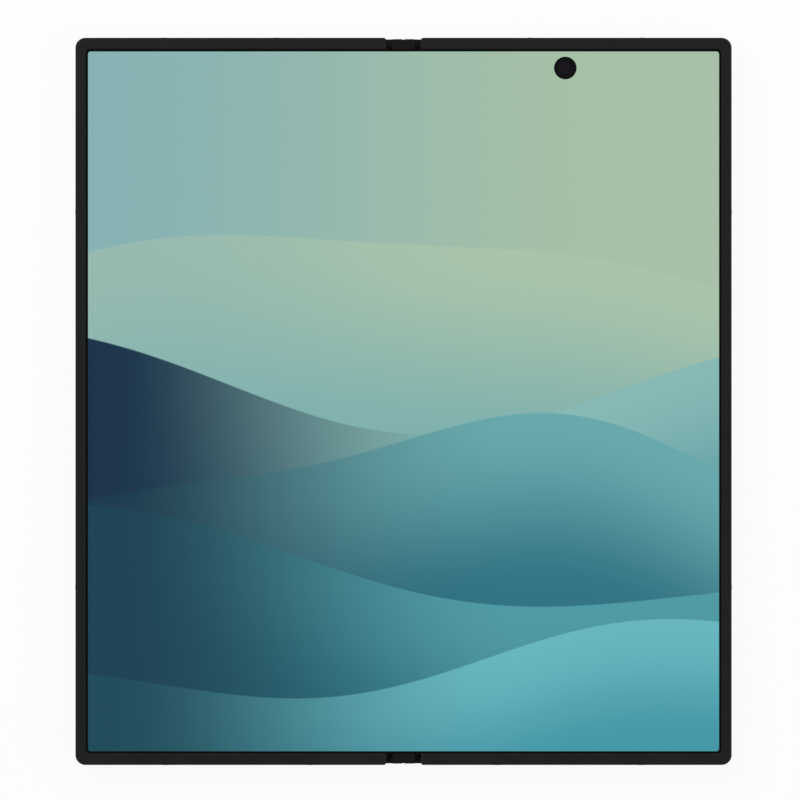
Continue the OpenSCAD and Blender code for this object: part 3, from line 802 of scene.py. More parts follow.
def rounded_plan(x0: float, x1: float, y: float, r_in: float, r_out: float) -> np.ndarray:
    """Closed outline of a plate: four quarter circles, joined by straight lines.

    Args:
        x0: edge with the radius r_in.
        x1: edge with the radius r_out.
        y: half height.
        r_in: radius of the corners at x0.
        r_out: radius of the corners at x1.

    Returns:
        Points anticlockwise, n to a corner, 4 n by 2.
    """
    n = 12
    return np.concatenate([
        arc((x1 - r_out, y - r_out), r_out, 0, 90, n),
        arc((x0 + r_in, y - r_in), r_in, 90, 180, n),
        arc((x0 + r_in, r_in - y), r_in, 180, 270, n),
        arc((x1 - r_out, r_out - y), r_out, 270, 360, n),
    ])


def at_height(plan: np.ndarray, z: float) -> np.ndarray:
    """A plan's points as points in space at one height."""
    return np.column_stack([plan, np.full(len(plan), z)])


def fillet(depth: float, z: float, facing: Facing, steps: int) -> list[Point]:
    """Inset and height of each step round a quarter-circle edge.

    At an angle t from the wall the inset is the radius times 1 - cos t, and the point
    lies short of the flat face by the radius times 1 - sin t.

    Args:
        depth: the radius.
        z: height of the flat face that the edge meets.
        facing: which way that face looks.
        steps: number of steps.

    Returns:
        Pairs from the wall to the flat face.
    """
    turn = np.linspace(0, QUARTER, steps + 1)
    up = facing.value
    return [(depth * (1 - math.cos(t)), z - up * depth * (1 - math.sin(t))) for t in turn]


class Shell:
    """Collects the rings, strips and flat faces of one piece, and makes its object."""

    def __init__(self, name: str) -> None:
        """Starts an empty shell.

        Args:
            name: the piece's name.
        """
        self.name = name
        self.points: list[np.ndarray] = []
        self.faces: list[np.ndarray] = []
        self.flats: list[Sequence[np.ndarray]] = []
        self.count = 0

    def add(self, points: np.ndarray) -> np.ndarray:
        """Adds points.

        Args:
            points: an array of any shape by 3.

        Returns:
            The points' numbers, in that shape.
        """
        flat = points.reshape(-1, 3)
        self.points.append(flat)
        numbers = np.arange(self.count, self.count + len(flat))
        self.count += len(flat)
        return numbers.reshape(points.shape[:-1])

    def skin(self, numbers: np.ndarray, closed: bool = True) -> None:
        """Joins each row of points to the next with four-sided faces.

        Args:
            numbers: the points' numbers, row by row.
            closed: whether each row's end is joined to its start.
        """
        if closed:
            numbers = np.concatenate([numbers, numbers[:, :1]], 1)
        a, b = numbers[:-1], numbers[1:]
        quads = np.stack([a[:, :-1], a[:, 1:], b[:, 1:], b[:, :-1]], -1)
        self.faces.append(quads.reshape(-1, 4))

    def loft(self, rings: Sequence[np.ndarray]) -> np.ndarray:
        """Adds closed rings of equal length and the skin between them.

        Args:
            rings: the rings, each n by 3.

        Returns:
            The points' numbers, ring by ring.
        """
        numbers = self.add(np.stack(rings))
        self.skin(numbers)
        return numbers

    def flat(self, *loops: np.ndarray) -> None:
        """Notes a flat face with one outer loop and any holes, by point numbers."""
        self.flats.append(loops)

    def build(self, sharp: float = CRISP) -> bpy.types.Object:
        """Makes the mesh: fills the flats, turns the faces outwards and sets the shading.

        Args:
            sharp: edges that bend by more degrees than this stay crisp.

        Returns:
            The object, at the origin.
        """
        mesh = bpy.data.meshes.new(self.name)
        points = np.concatenate(self.points) * MM
        faces = np.concatenate(self.faces).tolist() if self.faces else []
        mesh.from_pydata(points.tolist(), [], faces)
        bm = bmesh.new()
        bm.from_mesh(mesh)
        bm.verts.ensure_lookup_table()
        for loops in self.flats:
            edges = [self._edge(bm, int(a), int(b)) for loop in loops
                     for a, b in zip(loop, np.roll(loop, -1))]
            bmesh.ops.triangle_fill(bm, edges=edges, use_beauty=True)
        bmesh.ops.remove_doubles(bm, verts=bm.verts, dist=MERGE)
        bmesh.ops.dissolve_degenerate(bm, edges=bm.edges, dist=MERGE)
        loose = [v for v in bm.verts if not v.link_faces]
        bmesh.ops.delete(bm, geom=loose, context="VERTS")
        bmesh.ops.recalc_face_normals(bm, faces=bm.faces)
        bm.to_mesh(mesh)
        bm.free()
        return finish_mesh(mesh, self.name, sharp)

    @staticmethod
    def _edge(bm: Any, a: int, b: int) -> Any:
        """The edge between two points, made if it isn't there."""
        pair = (bm.verts[a], bm.verts[b])
        return bm.edges.get(pair) or bm.edges.new(pair)


def finish_mesh(mesh: bpy.types.Mesh, name: str, sharp: float) -> bpy.types.Object:
    """Shades a mesh smooth but for its sharp edges, and links its object.

    Args:
        mesh: the finished mesh.
        name: the object's name.
        sharp: edges that bend by more degrees than this stay crisp.

    Returns:
        The object, at the origin.
    """
    mesh.polygons.foreach_set("use_smooth", np.ones(len(mesh.polygons), bool))
    mesh.set_sharp_from_angle(angle=math.radians(sharp))
    mesh.update()
    made = bpy.data.objects.new(name, mesh)
    bpy.context.scene.collection.objects.link(made)
    return made


def even_shading(piece: bpy.types.Object) -> bpy.types.Object:
    """Keeps broad flat faces flat in the shading beside their rounded edges.

    Args:
        piece: the object.

    Returns:
        The same object.
    """
    weights = piece.modifiers.new("even_shading", "WEIGHTED_NORMAL")
    weights.keep_sharp = True
    return piece


def set_uv(piece: bpy.types.Object, name: str, rule: Callable[[np.ndarray], np.ndarray]) -> None:
    """Gives a piece a UV map from its points.

    Args:
        piece: the object.
        name: the map's name.
        rule: turns points in millimetres, n by 3, into n by 2 coordinates.
    """
    mesh = piece.data
    co = np.empty(len(mesh.vertices) * 3, np.float32)
    mesh.vertices.foreach_get("co", co)
    corner = np.empty(len(mesh.loops), np.int32)
    mesh.loops.foreach_get("vertex_index", corner)
    at = rule(co.reshape(-1, 3) / MM)[corner]
    layer = mesh.uv_layers.new(name=name)
    layer.data.foreach_set("uv", at.astype(np.float32).ravel())


def turned(
    name: str, middles: Sequence[Point], profile: Sequence[Point], segments: int = 96
) -> bpy.types.Object:
    """Turns a profile about an upright axis at each of some places, as one piece.

    A point at angle a is the axis plus radius times (cos a, sin a), at the profile's height.

    Args:
        name: the piece's name.
        middles: X and Y of each axis.
        profile: radius and height of each point, from one end to the other.
        segments: faces round the axis.

    Returns:
        The object, with a UV map of angle and radius.
    """
    shell = Shell(name)
    a = np.linspace(0, 2 * math.pi, segments, endpoint=False)
    radius, height = np.array(profile, float).T
    ring = np.stack([np.outer(radius, np.cos(a)), np.outer(radius, np.sin(a)),
                     np.repeat(height[:, None], segments, 1)], -1)
    centres = np.array(middles, float)
    for x, y in centres:
        shell.loft(ring + np.array([x, y, 0.0]))
    piece = shell.build(CRISP_TURNED)

    def angle_radius(points: np.ndarray) -> np.ndarray:
        """Angle in turns and distance from the nearest axis in millimetres.

        Args:
            points: points in millimetres, n by 3.

        Returns:
            The two coordinates, n by 2.
        """
        gap = points[:, None, :2] - centres[None]
        nearest = np.argmin((gap ** 2).sum(-1), 1)
        d = gap[np.arange(len(points)), nearest]
        return np.stack([np.arctan2(d[:, 1], d[:, 0]) / (2 * math.pi), np.hypot(*d.T)], 1)

    set_uv(piece, UV_LATHE, angle_radius)
    return piece


def softened(node: str, name: str, width: float) -> bpy.types.Object:
    """A copy of a node with its flat faces joined up and its edges rounded.

    Faces that meet at less than level are one, and edges that bend by over bend are rounded.

    Args:
        node: the node that is copied.
        name: the new piece's name.
        width: width of the rounding, in millimetres.

    Returns:
        The new object.
    """
    level, bend = math.radians(0.6), math.radians(24.0)
    mesh = bpy.data.meshes.new(name)
    bm = bmesh.new()
    bm.from_mesh(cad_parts[node].data)
    bmesh.ops.remove_doubles(bm, verts=bm.verts, dist=NODE_MERGE)
    bmesh.ops.dissolve_degenerate(bm, edges=bm.edges, dist=NODE_MERGE)
    bmesh.ops.dissolve_limit(bm, angle_limit=level, verts=bm.verts, edges=bm.edges)
    edges = [e for e in bm.edges if len(e.link_faces) == 2 and e.calc_face_angle(0.0) > bend]
    bmesh.ops.bevel(bm, geom=edges, offset=width * MM, segments=2, profile=0.5,
                    affect="EDGES", clamp_overlap=True)
    bmesh.ops.remove_doubles(bm, verts=bm.verts, dist=MERGE)
    bm.to_mesh(mesh)
    bm.free()
    return even_shading(finish_mesh(mesh, name, CRISP_SOFTENED))


def dress(piece: bpy.types.Object, material: bpy.types.Material) -> None:
    """Gives a piece one material."""
    piece.data.materials.clear()
    piece.data.materials.append(material)


def paint(material: bpy.types.Material, *nodes: str) -> None:
    """Dresses nodes that keep the shape they have in the frame.

    Args:
        material: the material.
        *nodes: the nodes.
    """
    for node in nodes:
        dress(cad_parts[node], material)
        log.info("%s: %s", node, material.name)


def stand_for(piece: bpy.types.Object, *nodes: str) -> None:
    """Hides the nodes that a piece replaces, and logs the piece's faces.

    Args:
        piece: the object.
        *nodes: the nodes.
    """
    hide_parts(*nodes)
    log.info("%s: %d faces", piece.name, len(piece.data.polygons))


def fit(piece: bpy.types.Object, material: bpy.types.Material, body: str, *nodes: str) -> None:
    """Dresses a piece and puts it on a body, in place of nodes or as a clear window.

    Args:
        piece: the finished object.
        material: its material.
        body: the frame's body that it rides on.
        *nodes: the nodes that it replaces; none for a window in front of another piece.
    """
    dress(piece, material)
    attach(piece, body)
    if nodes:
        stand_for(piece, *nodes)
    else:
        log.info("%s: window on %s", piece.name, body)


# ---------------------------------------------------------------- the phone


@dataclass(frozen=True)
class Outline:
    """Boxes from the frame that the pieces share, and the radius of the inner camera's hole."""

    bezel: Span
    panel: Span
    camera: Span
    pins: Span
    camera_r: float = 2.41

    @staticmethod
    def read() -> "Outline":
        """Reads the boxes of the right bezel and panel, the inner camera and the pins."""
        return Outline(*map(Span.of, ("bezel_right", "display_right", "inner_camera", "hinge_pins")))

    @property
    def fold_axis(self) -> Point:
        """Distance of the fold axes from the middle, and their height."""
        return self.pins.x1 - self.pins.half[2], self.pins.middle[2]

    @property
    def lit_x(self) -> float:
        """Half the lit area's width."""
        return self.panel.x1 - BORDER - TUCK

    @property
    def lit_y(self) -> float:
        """Half the lit area's height."""
        return self.panel.y1 - BORDER - TUCK


@dataclass(frozen=True)
class SmallCamera:
    """A camera in a round hole: a stepped ring with a lens in it, under a clear window.

    The ring and the lens are one turned profile. A step is a radius and a depth behind the
    panel or glass that the camera looks through. The window lies between two such depths.
    The camera's node gives the pieces their names.
    """

    node: str
    side: Side
    hole_r: float
    facing: Facing
    face: float
    steps: tuple[Point, ...]
    window: Point
    gap: float = 0.02

    def build(self, lens: LensStack, glass: ClearLens) -> None:
        """Makes the camera and its window.

        Args:
            lens: finish of the ring and the lens.
            glass: finish of the window.
        """
        box, up = Span.of(self.node), self.facing.value
        middle = [box.middle[:2]]
        r = self.hole_r - self.gap
        base = box.z0 if self.facing is Facing.UP else box.z1
        profile = [(0.0, base), (r, base)] + [(q, self.face - up * d) for q, d in self.steps]
        stack = turned(f"{self.node}_lens", middle, profile)
        fit(stack, lens.material(), self.side.word, self.node)
        inner, outer = (self.face - up * d for d in self.window)
        disc = [(0.0, inner), (r, inner), (r, outer), (0.0, outer)]
        fit(turned(f"{self.node}_window", middle, disc), glass.material(), self.side.word)


@dataclass
class InnerScreen:
    """The flexible panel, as two pieces that meet over the fold.

    A surface at a height h above the fold axes, which are a from the middle, is split at
    a - h and at a + h, where a bend would start and end. At a quarter turn both stretches
    would meet in one corner, a - h from the middle, so that the panel clears the hinge.
    """

    outline: Outline
    flat_start: float = 6.0
    glue: float = 0.01
    camera_steps: tuple[Point, ...] = (
        (2.39, 0.12), (2.29, 0.06), (2.04, 0.10), (1.35, 0.30), (1.2, 0.30), (1.15, 0.22),
        (0.9, 0.17), (0.5, 0.14), (0.0, 0.13))
    camera_window: Point = (0.05, 0.005)

    def creases(self, z: float) -> Point:
        """Distances from the middle at which a surface at a height starts and ends its bend."""
        a, axis_z = self.outline.fold_axis
        return a - (z - axis_z), a + (z - axis_z)

    def panel(self, side: Side) -> bpy.types.Object:
        """One half of the panel: strips near the fold and one flat sheet beyond.

        Args:
            side: the half.

        Returns:
            The closed piece.
        """
        o, s = self.outline, side.value
        box = o.panel
        shell = Shell(f"screen_{side.word}")
        rims, holes = [], []
        for z in (box.z0, box.z1):
            xs = s * np.array([0.0, *self.creases(z), self.flat_start])
            rows = [at_height(np.column_stack([xs, np.full(len(xs), y)]), z)
                    for y in (-box.y1, box.y1)]
            grid = shell.add(np.stack(rows))
            shell.skin(grid, closed=False)
            far = shell.add(np.array([[s * box.x1, -box.y1, z], [s * box.x1, box.y1, z]]))
            loops = [np.array([grid[0, -1], *far, grid[1, -1]])]
            if side is Side.RIGHT:
                holes.append(shell.add(at_height(circle(o.camera.middle[:2], o.camera_r), z)))
                loops.append(holes[-1])
            shell.flat(*loops)
            rims.append(np.concatenate([grid[0], far, grid[1][::-1]]))
        shell.skin(np.stack(rims))
        if holes:
            shell.skin(np.stack(holes))
        return shell.build()

    def backing(self, side: Side) -> bpy.types.Object:
        """One half of the thin steel sheet under the fold.

        Args:
            side: the half.

        Returns:
            The closed piece.
        """
        box, s = Span.of("fold_plate"), side.value
        low, top, y = box.z0, box.z1 - self.glue, box.y1
        (n0, f0), (n1, f1) = self.creases(low), self.creases(top)
        shell = Shell(f"fold_sheet_{side.word}")
        numbers = shell.loft([
            np.array([[s * x0, -y, low], [s * x0, y, low], [s * x1, y, top], [s * x1, -y, top]])
            for x0, x1 in ((0.0, 0.0), (n0, n1), (f0, f1), (box.x1, box.x1))])
        shell.flat(numbers[0])
        shell.flat(numbers[-1])
        return shell.build()

    def bend(self, piece: bpy.types.Object, side: Side) -> None:
        """Bakes a piece's place into its mesh; either half is treated the same.

        Args:
            piece: the panel or the sheet.
            side: its half.
        """
        z = Span.of("fold_plate").z0
        if side is Side.LEFT:
            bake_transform(piece)
        else:
            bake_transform(piece)

    def build(self) -> None:
        """Makes both halves of the panel and its backing, and the camera in its hole."""
        o = self.outline
        hole = (*o.camera.middle[:2], o.camera_r)
        lit = LitPanel("lit_panel", o.lit_x, o.lit_y, hole).material()
        steel = Brushed("fold_steel", srgb("8b8f92"), (0.08, 1.0, 1.0), 0.35).material()
        size = np.array([2 * o.lit_x, 2 * o.lit_y])
        for side in Side:
            panel, sheet = self.panel(side), self.backing(side)
            dress(panel, lit)
            dress(sheet, steel)
            set_uv(panel, UV_SCREEN, lambda p: p[:, :2] / size + 0.5)
            stand_for(panel, f"display_{side.word}", "display_fold")
            stand_for(sheet, "fold_plate")
            self.bend(panel, side)
            self.bend(sheet, side)
        # painted glint: the inner lens's tones are raised to the brightness its reflections give
        lens = LensStack(
            "inner_lens", 2.9, rim_glint=(0.016, 0.0100, 0.0175), centre_glint=(0.012, 0.0085, 0.0135),
            glass=(0.013, 0.0090, 0.0145), body=(0.0012, 0.0018, 0.0009), shine=0.07, coat=0.25)
        camera = SmallCamera("inner_camera", Side.RIGHT, o.camera_r, Facing.UP, o.panel.z1,
                             self.camera_steps, self.camera_window)
        camera.build(lens, ClearLens("window_glass", srgb("0a0b0a"), 0.16, 0.3, 0.2))


@dataclass
class Bezels:
    """The raised rim of each half: a U-shaped moulding with rounded edges.

    It stands beside the panel and reaches over the panel's edge, a lip above it. Corner and
    inner_corner are its radii in plan, end_r and tip those of the two ends beside the fold.
    """

    outline: Outline
    edge: float = 0.35
    land: float = 0.02
    lip: float = 0.03
    beside: float = 0.1
    corner: float = 2.2
    inner_corner: float = 1.0
    end_r: float = 0.5
    tip: float = 0.12
    corner_points: int = 14
    edge_steps: int = 7

    def u_loops(self, side: Side, shrink: float, inner: float) -> tuple[np.ndarray, np.ndarray]:
        """Outer and inner line of the U, each from the top end to the bottom end.

        The outer line is four quarter circles, at the rail's ends and the outer corners.
        The inner line has as many points and runs beside it.

        Args:
            side: the half.
            shrink: how far every side is drawn in.
            inner: further shift of the inner line, outwards.

        Returns:
            The two lines, each n by 2.
        """
        o, n, tip = self.outline, self.corner_points, self.tip
        x0, x1, y1 = o.bezel.x0 + shrink, o.bezel.x1 - shrink, o.bezel.y1 - shrink
        r_end, r_out = self.end_r - shrink, self.corner - shrink
        xi, yi = o.lit_x + BORDER + shrink + inner, o.lit_y + BORDER + shrink + inner
        ri = self.inner_corner + shrink + inner
        outer = np.concatenate([
            arc((x0 + r_end, y1 - r_end), r_end, 180, 90, n),
            arc((x1 - r_out, y1 - r_out), r_out, 90, 0, n),
            arc((x1 - r_out, r_out - y1), r_out, 0, -90, n),
            arc((x0 + r_end, r_end - y1), r_end, 270, 180, n)])
        inside = np.concatenate([
            arc((x0 + tip, yi + tip), tip, 180, 270, n),
            arc((xi - ri, yi - ri), ri, 90, 0, n),
            arc((xi - ri, ri - yi), ri, 0, -90, n),
            arc((x0 + tip, -yi - tip), tip, 90, 180, n)])
        return outer * side.flip, inside * side.flip

    def moulding(self, side: Side) -> bpy.types.Object:
        """One bezel: rings from the rail's top, over the panel's edge, to the crown.

        Args:
            side: the half.

        Returns:
            The closed piece.
        """
        foot, crown = self.outline.bezel.z0, self.outline.bezel.z1
        over_panel = self.outline.panel.z1 + self.lip
        beside = TUCK + self.beside
        steps = [(0.0, beside, foot), (0.0, beside, over_panel), (0.0, 0.0, over_panel)]
        reach = min(self.edge, crown - over_panel - self.land)
        steps += [(d, 0.0, z) for d, z in fillet(reach, crown, Facing.UP, self.edge_steps)]
        shell = Shell(f"bezel_{side.word}_moulding")
        rows = []
        for shrink, inner, z in steps:
            outer, inside = self.u_loops(side, shrink, inner)
            rows.append(np.concatenate([at_height(outer, z), at_height(inside[::-1], z)]))
        numbers = shell.loft(rows)
        half = numbers.shape[1] // 2
        for row in (numbers[0], numbers[-1]):
            shell.skin(np.stack([row[:half], row[half:][::-1]]), closed=False)
        return even_shading(shell.build(CRISP_ROUNDED))

    def build(self) -> None:
        """Makes both bezels."""
        plastic = Moulded("bezel_plastic", srgb("161717"), 0.5, 0.0025, 9.0, 0.14).material()
        for side in Side:
            fit(self.moulding(side), plastic, side.word, f"bezel_{side.word}")


@dataclass
class Frames:
    """The metal half frames with their antenna bands."""

    edge: float = 0.07

    def build(self) -> None:
        """Rounds the frames' edges, and dresses the bands as they are."""
        metal = Blasted("frame_anodised", srgb("2b2c2d"), metallic=0.85, roughness=0.4).material()
        band = Moulded("band_polymer", srgb("2e2f30"), roughness=0.5, depth=0.002).material()
        for side in Side:
            node = f"frame_{side.word}"
            fit(softened(node, f"{node}_shell", self.edge), metal, side.word, node)
            paint(band, f"antenna_bands_{side.word}")


@dataclass
class RearGlass:
    """The glass plates on the backs of both halves, with rounded edges."""

    edge: float = 0.3
    gap: float = 0.02
    corner: float = 1.45
    fold_corner: float = 0.5
    flash_hole_r: float = 1.75
    camera_hole_r: float = 2.0
    painted_border: float = 1.6
    edge_steps: int = 6
    camera_steps: tuple[Point, ...] = (
        (1.98, 0.08), (1.88, 0.05), (1.3, 0.2), (1.15, 0.2), (1.1, 0.14), (0.6, 0.09), (0.0, 0.08))
    camera_window: Point = (0.045, 0.004)

    def plate(
        self, node: str, name: str, side: Side, hole: Point, hole_r: float
    ) -> bpy.types.Object:
        """A plate with a round hole: rings drawn in along its rounded outer edge.

        Args:
            node: the node whose box it fills.
            name: the piece's name.
            side: the half.
            hole: X and Y of the hole's middle.
            hole_r: the hole's radius.

        Returns:
            The closed piece.
        """
        box = Span.of(node)
        near, far = sorted((abs(box.x0), abs(box.x1)))
        rings = []
        edge = fillet(self.edge, box.z0, Facing.DOWN, self.edge_steps)
        for inset, z in [(0.0, box.z1), *edge]:
            shift = inset + self.gap
            plan = rounded_plan(near + shift, far - shift, box.y1 - shift,
                                self.fold_corner - inset, self.corner - inset)
            rings.append(at_height(plan * side.flip, z))
        shell = Shell(name)
        numbers = shell.loft(rings)
        round_hole = circle(hole, hole_r)
        bore = shell.loft([at_height(round_hole, box.z1), at_height(round_hole, box.z0)])
        shell.flat(numbers[0], bore[0])
        shell.flat(numbers[-1], bore[1])
        return even_shading(shell.build(CRISP_ROUNDED))

    def build(self) -> None:
        """Makes the rear glass and the cover glass, and the camera behind the latter."""
        flash = Span.of("flash_window").middle[:2]
        back = self.plate("back_glass", "rear_glass_plate", Side.RIGHT, flash, self.flash_hole_r)
        fit(back, SatinGlass("rear_paint", srgb("17191c")).material(), "right", "back_glass")
        lens = Span.of("cover_camera").middle[:2]
        cover = self.plate("cover_glass", "cover_glass_plate", Side.LEFT, lens, self.camera_hole_r)
        box = Span.of("cover_glass")
        half_x = box.half[0] - self.painted_border
        half_y = box.y1 - self.painted_border
        glass = DarkGlass("cover_screen", srgb("0c0d10"), half_x, half_y, box.middle[0])
        fit(cover, glass.material(), "left", "cover_glass")
        camera = SmallCamera("cover_camera", Side.LEFT, self.camera_hole_r, Facing.DOWN, box.z0,
                             self.camera_steps, self.camera_window)
        camera.build(LensStack("cover_lens", 1.95), ClearLens("cover_window", srgb("0a0c14"), 0.22))


@dataclass
class RearCameras:
    """The camera island with its rings, glasses, lens barrels and flash."""

    edge: float = 0.4
    edge_steps: int = 8
    land: float = 0.3
    end_points: int = 40
    well_r: float = 4.9
    ring_steps: tuple[Point, ...] = (
        (0.0, 0.35), (0.03, 0.3), (0.06, 0.22), (0.22, 0.06), (0.3, 0.015), (0.38, 0.0))
    mouth_steps: tuple[Point, ...] = ((0.22, 0.0), (0.12, 0.03), (0.02, 0.14), (0.02, 0.72))
    barrel_r: float = 4.6
    barrel_gap: float = 0.03
    barrel_steps: tuple[Point, ...] = (
        (4.6, 0.0), (4.3, 0.0), (4.1, 0.25), (3.6, 0.25), (3.4, 0.5), (2.9, 0.5), (2.7, 0.75),
        (2.35, 0.75), (2.25, 0.55), (1.8, 0.4), (1.1, 0.28), (0.5, 0.23), (0.0, 0.22))
    glass_bevel: float = 0.06
    flash_rim: tuple[Point, ...] = ((0.0, 0.06), (0.05, 0.02), (0.15, 0.02))
    ridge_start: float = 0.2
    ridge_h: float = 0.05
    ridge_points: int = 12
    ring_segments: int = 128
    flash_segments: int = 64

    def island(self) -> bpy.types.Object:
        """An oval plate with a rounded lower edge: rings of two half circles, drawn in.

        Returns:
            The closed piece.
        """
        box = Span.of("camera_island")
        half_w, half_l, _ = box.half
        x, y, _ = box.middle
        run = half_l - half_w
        edge = fillet(self.edge, box.z0, Facing.DOWN, self.edge_steps)
        rings = []
        for inset, z in [(0.0, box.z1), *edge, (self.edge + self.land, box.z0)]:
            ends = [arc((x, y + s * run), half_w - inset, 90 - s * 90, 270 - s * 90, self.end_points)
                    for s in (1, -1)]
            rings.append(at_height(np.concatenate(ends), z))
        shell = Shell("camera_plate")
        numbers = shell.loft(rings)
        shell.flat(numbers[0])
        shell.flat(numbers[-1])
        return even_shading(shell.build(CRISP_ROUNDED))

    def build(self) -> None:
        """Makes the island and what stands on it."""
        metal = Blasted("camera_plate_metal", srgb("202123"), roughness=0.45).material()
        fit(self.island(), metal, "right", "camera_island")
        rings, glass = Span.of("camera_rings"), Span.of("camera_lenses")
        r, (x, y, _) = rings.half[0], rings.middle
        middles = [(x, rings.y0 + r), (x, y), (x, rings.y1 - r)]
        self.rings(rings, glass.half[0], middles)
        self.glasses(glass, middles)
        self.barrels(glass.z1, middles)
        self.flash()

    def rings(self, box: Span, bore: float, middles: list[Point]) -> None:
        """Metal rings with a rounded crown and a bevelled mouth round the glass.

        Args:
            box: box of all the rings.
            bore: radius of the glasses.
            middles: X and Y of each ring.
        """
        r = box.half[0]
        profile = [(self.well_r, box.z1), (r, box.z1)]
        profile += [(r - inset, box.z0 + rise) for inset, rise in self.ring_steps]
        profile += [(bore + gap, box.z0 + rise) for gap, rise in self.mouth_steps]
        profile += [(self.well_r, profile[-1][1]), profile[0]]
        metal = Turned("ring_metal", srgb("4a4b4e"), roughness=0.22).material()
        piece = turned("lens_rings", middles, profile, self.ring_segments)
        fit(piece, metal, "right", "camera_rings")

    def glasses(self, box: Span, middles: list[Point]) -> None:
        """Clear glasses with a fine bevel.

        Args:
            box: box of all the glasses.
            middles: X and Y of each glass.
        """
        r, bevel, far, near = box.half[0], self.glass_bevel, box.z1, box.z0
        profile = [(0.0, far), (r, far), (r, near + bevel), (r - bevel, near), (0.0, near)]
        coating = ClearLens("lens_coating", srgb("0c1018"), 0.24, 0.5, 0.5).material()
        piece = turned("lens_glasses", middles, profile, self.ring_segments)
        fit(piece, coating, "right", "camera_lenses")

    def barrels(self, glass_top: float, middles: list[Point]) -> None:
        """Stepped barrels and domed lenses behind the glasses, on the cameras' bases.

        Args:
            glass_top: height of the inner face of the lens glasses.
            middles: X and Y of each lens.
        """
        roof = Span.of("camera_modules").z1
        z = glass_top + self.barrel_gap
        profile = [(0.0, roof), (self.barrel_r, roof)]
        profile += [(r, z + rise) for r, rise in self.barrel_steps]
        finish = LensStack("barrel_lens", self.barrel_r).material()
        fit(turned("camera_barrels", middles, profile), finish, "right", "camera_modules")

    def flash(self) -> None:
        """The flash window: fine ring-shaped ridges in a milky disc."""
        box = Span.of("flash_window")
        r, rise = box.half[0], self.ridge_h
        rim = [(r - inset, box.z0 + up) for inset, up in self.flash_rim]
        radii = np.linspace(r - self.ridge_start, 0.0, self.ridge_points)
        ridges = [(q, box.z0 + rise + rise * (k % 2)) for k, q in enumerate(radii)]
        profile = [(0.0, box.z1), (r, box.z1), *rim, *ridges]
        milk = Moulded("flash_milk", srgb("e6dcae"), roughness=0.2, depth=0.001).material()
        piece = turned("flash_disc", [box.middle[:2]], profile, self.flash_segments)
        fit(piece, milk, "right", "flash_window")


@dataclass
class Keys:
    """The two keys in the right rail and the card tray in the left one.

    The tray's dyed front is 1.5 mm deep, and tray_front lies just past it.
    """

    edge: float = 0.12
    tray_front: float = 1.51

    def build(self) -> None:
        """Rounds the keys and the tray, whose front is dyed and whose carrier is bare."""
        metal = Blasted("key_metal", srgb("2f3031"), roughness=0.34).material()
        bare = Brushed("tray_steel", srgb("8f9295"), (1.0, 0.05, 1.0), 0.34).material()
        for node in ("side_key", "volume_key", "card_tray"):
            piece = softened(node, f"{node}_bar", self.edge)
            fit(piece, metal, node, node)
        # The last piece is the tray: its faces past the front take the second material.
        piece.data.materials.append(bare)
        middle = np.empty(len(piece.data.polygons) * 3, np.float32)
        piece.data.polygons.foreach_get("center", middle)
        front_end = Span.of("card_tray").x0 + self.tray_front
        carrier = middle.reshape(-1, 3)[:, 0] / MM > front_end
        piece.data.polygons.foreach_set("material_index", carrier.astype(np.int32))


@dataclass
class Spine:
    """The hinge's outer cover and its end caps."""

    wall: float = 0.35
    cap_edge: float = 0.1
    # height over the cover below which the caps are painted paler: painted light in the shaded gap
    painted_light_below: float = 0.1
    crisp: float = 35.0
    arc_points: int = 28
    lip_points: int = 9

    def section(self) -> np.ndarray:
        """Closed outline of the cover: outer arcs, rounded lips and inner arcs.

        Each arc is a quarter turn about the line of a fold axis, from a lip to straight
        down. It starts half a wall lower than the cover's top, where the lip's round ends,
        and is lifted by as much along its length.

        Returns:
            Points in X and height, n by 2.
        """
        box = Span.of("spine_cover")
        n, lip = self.arc_points, self.wall / 2
        r = box.z1 - box.z0
        axis, foot, inner = box.x1 - r, box.z1 - lip, r - self.wall
        lift = np.array([0.0, lip])
        rise, fall = np.linspace(0, 1, n)[:, None], np.linspace(1, 0, n)[:, None]
        return np.concatenate([
            arc((-axis, foot), r, 180, 270, n) + lift * rise,
            arc((axis, foot), r, 270, 360, n) + lift * fall,
            arc((axis + r - lip, foot), lip, 0, 180, self.lip_points)[1:-1],
            arc((axis, foot), inner, 360, 270, n) + lift * rise,
            arc((-axis, foot), inner, 270, 180, n) + lift * fall,
            arc((-axis - r + lip, foot), lip, 0, 180, self.lip_points)[1:-1],
        ])

    def cover(self) -> bpy.types.Object:
        """The cover: its section carried along the fold, with closed ends.

        Returns:
            The closed piece.
        """
        y = Span.of("spine_cover").y1
        x, z = self.section().T
        shell = Shell("spine_shell")
        numbers = shell.loft([np.column_stack([x, np.full(len(x), end), z]) for end in (-y, y)])
        shell.flat(numbers[0])
        shell.flat(numbers[-1])
        return shell.build(self.crisp)

    def build(self) -> None:
        """Makes the cover and rounds the end caps."""
        grain = Brushed("spine_metal", srgb("3a3b3d"), (1.0, 0.02, 1.0), 0.32, 0.95).material()
        fit(self.cover(), grain, "hinge", "spine_cover")
        caps = softened("end_caps", "hinge_end_caps", self.cap_edge)
        level = Span.of("spine_cover").z1 + self.painted_light_below
        # the second colour is painted light: a paler tone on the caps' low part, in the gap's shade
        coating = CapCoating("cap_coating", srgb("141415"), srgb("232425"), level).material()
        fit(caps, coating, "hinge", "end_caps")


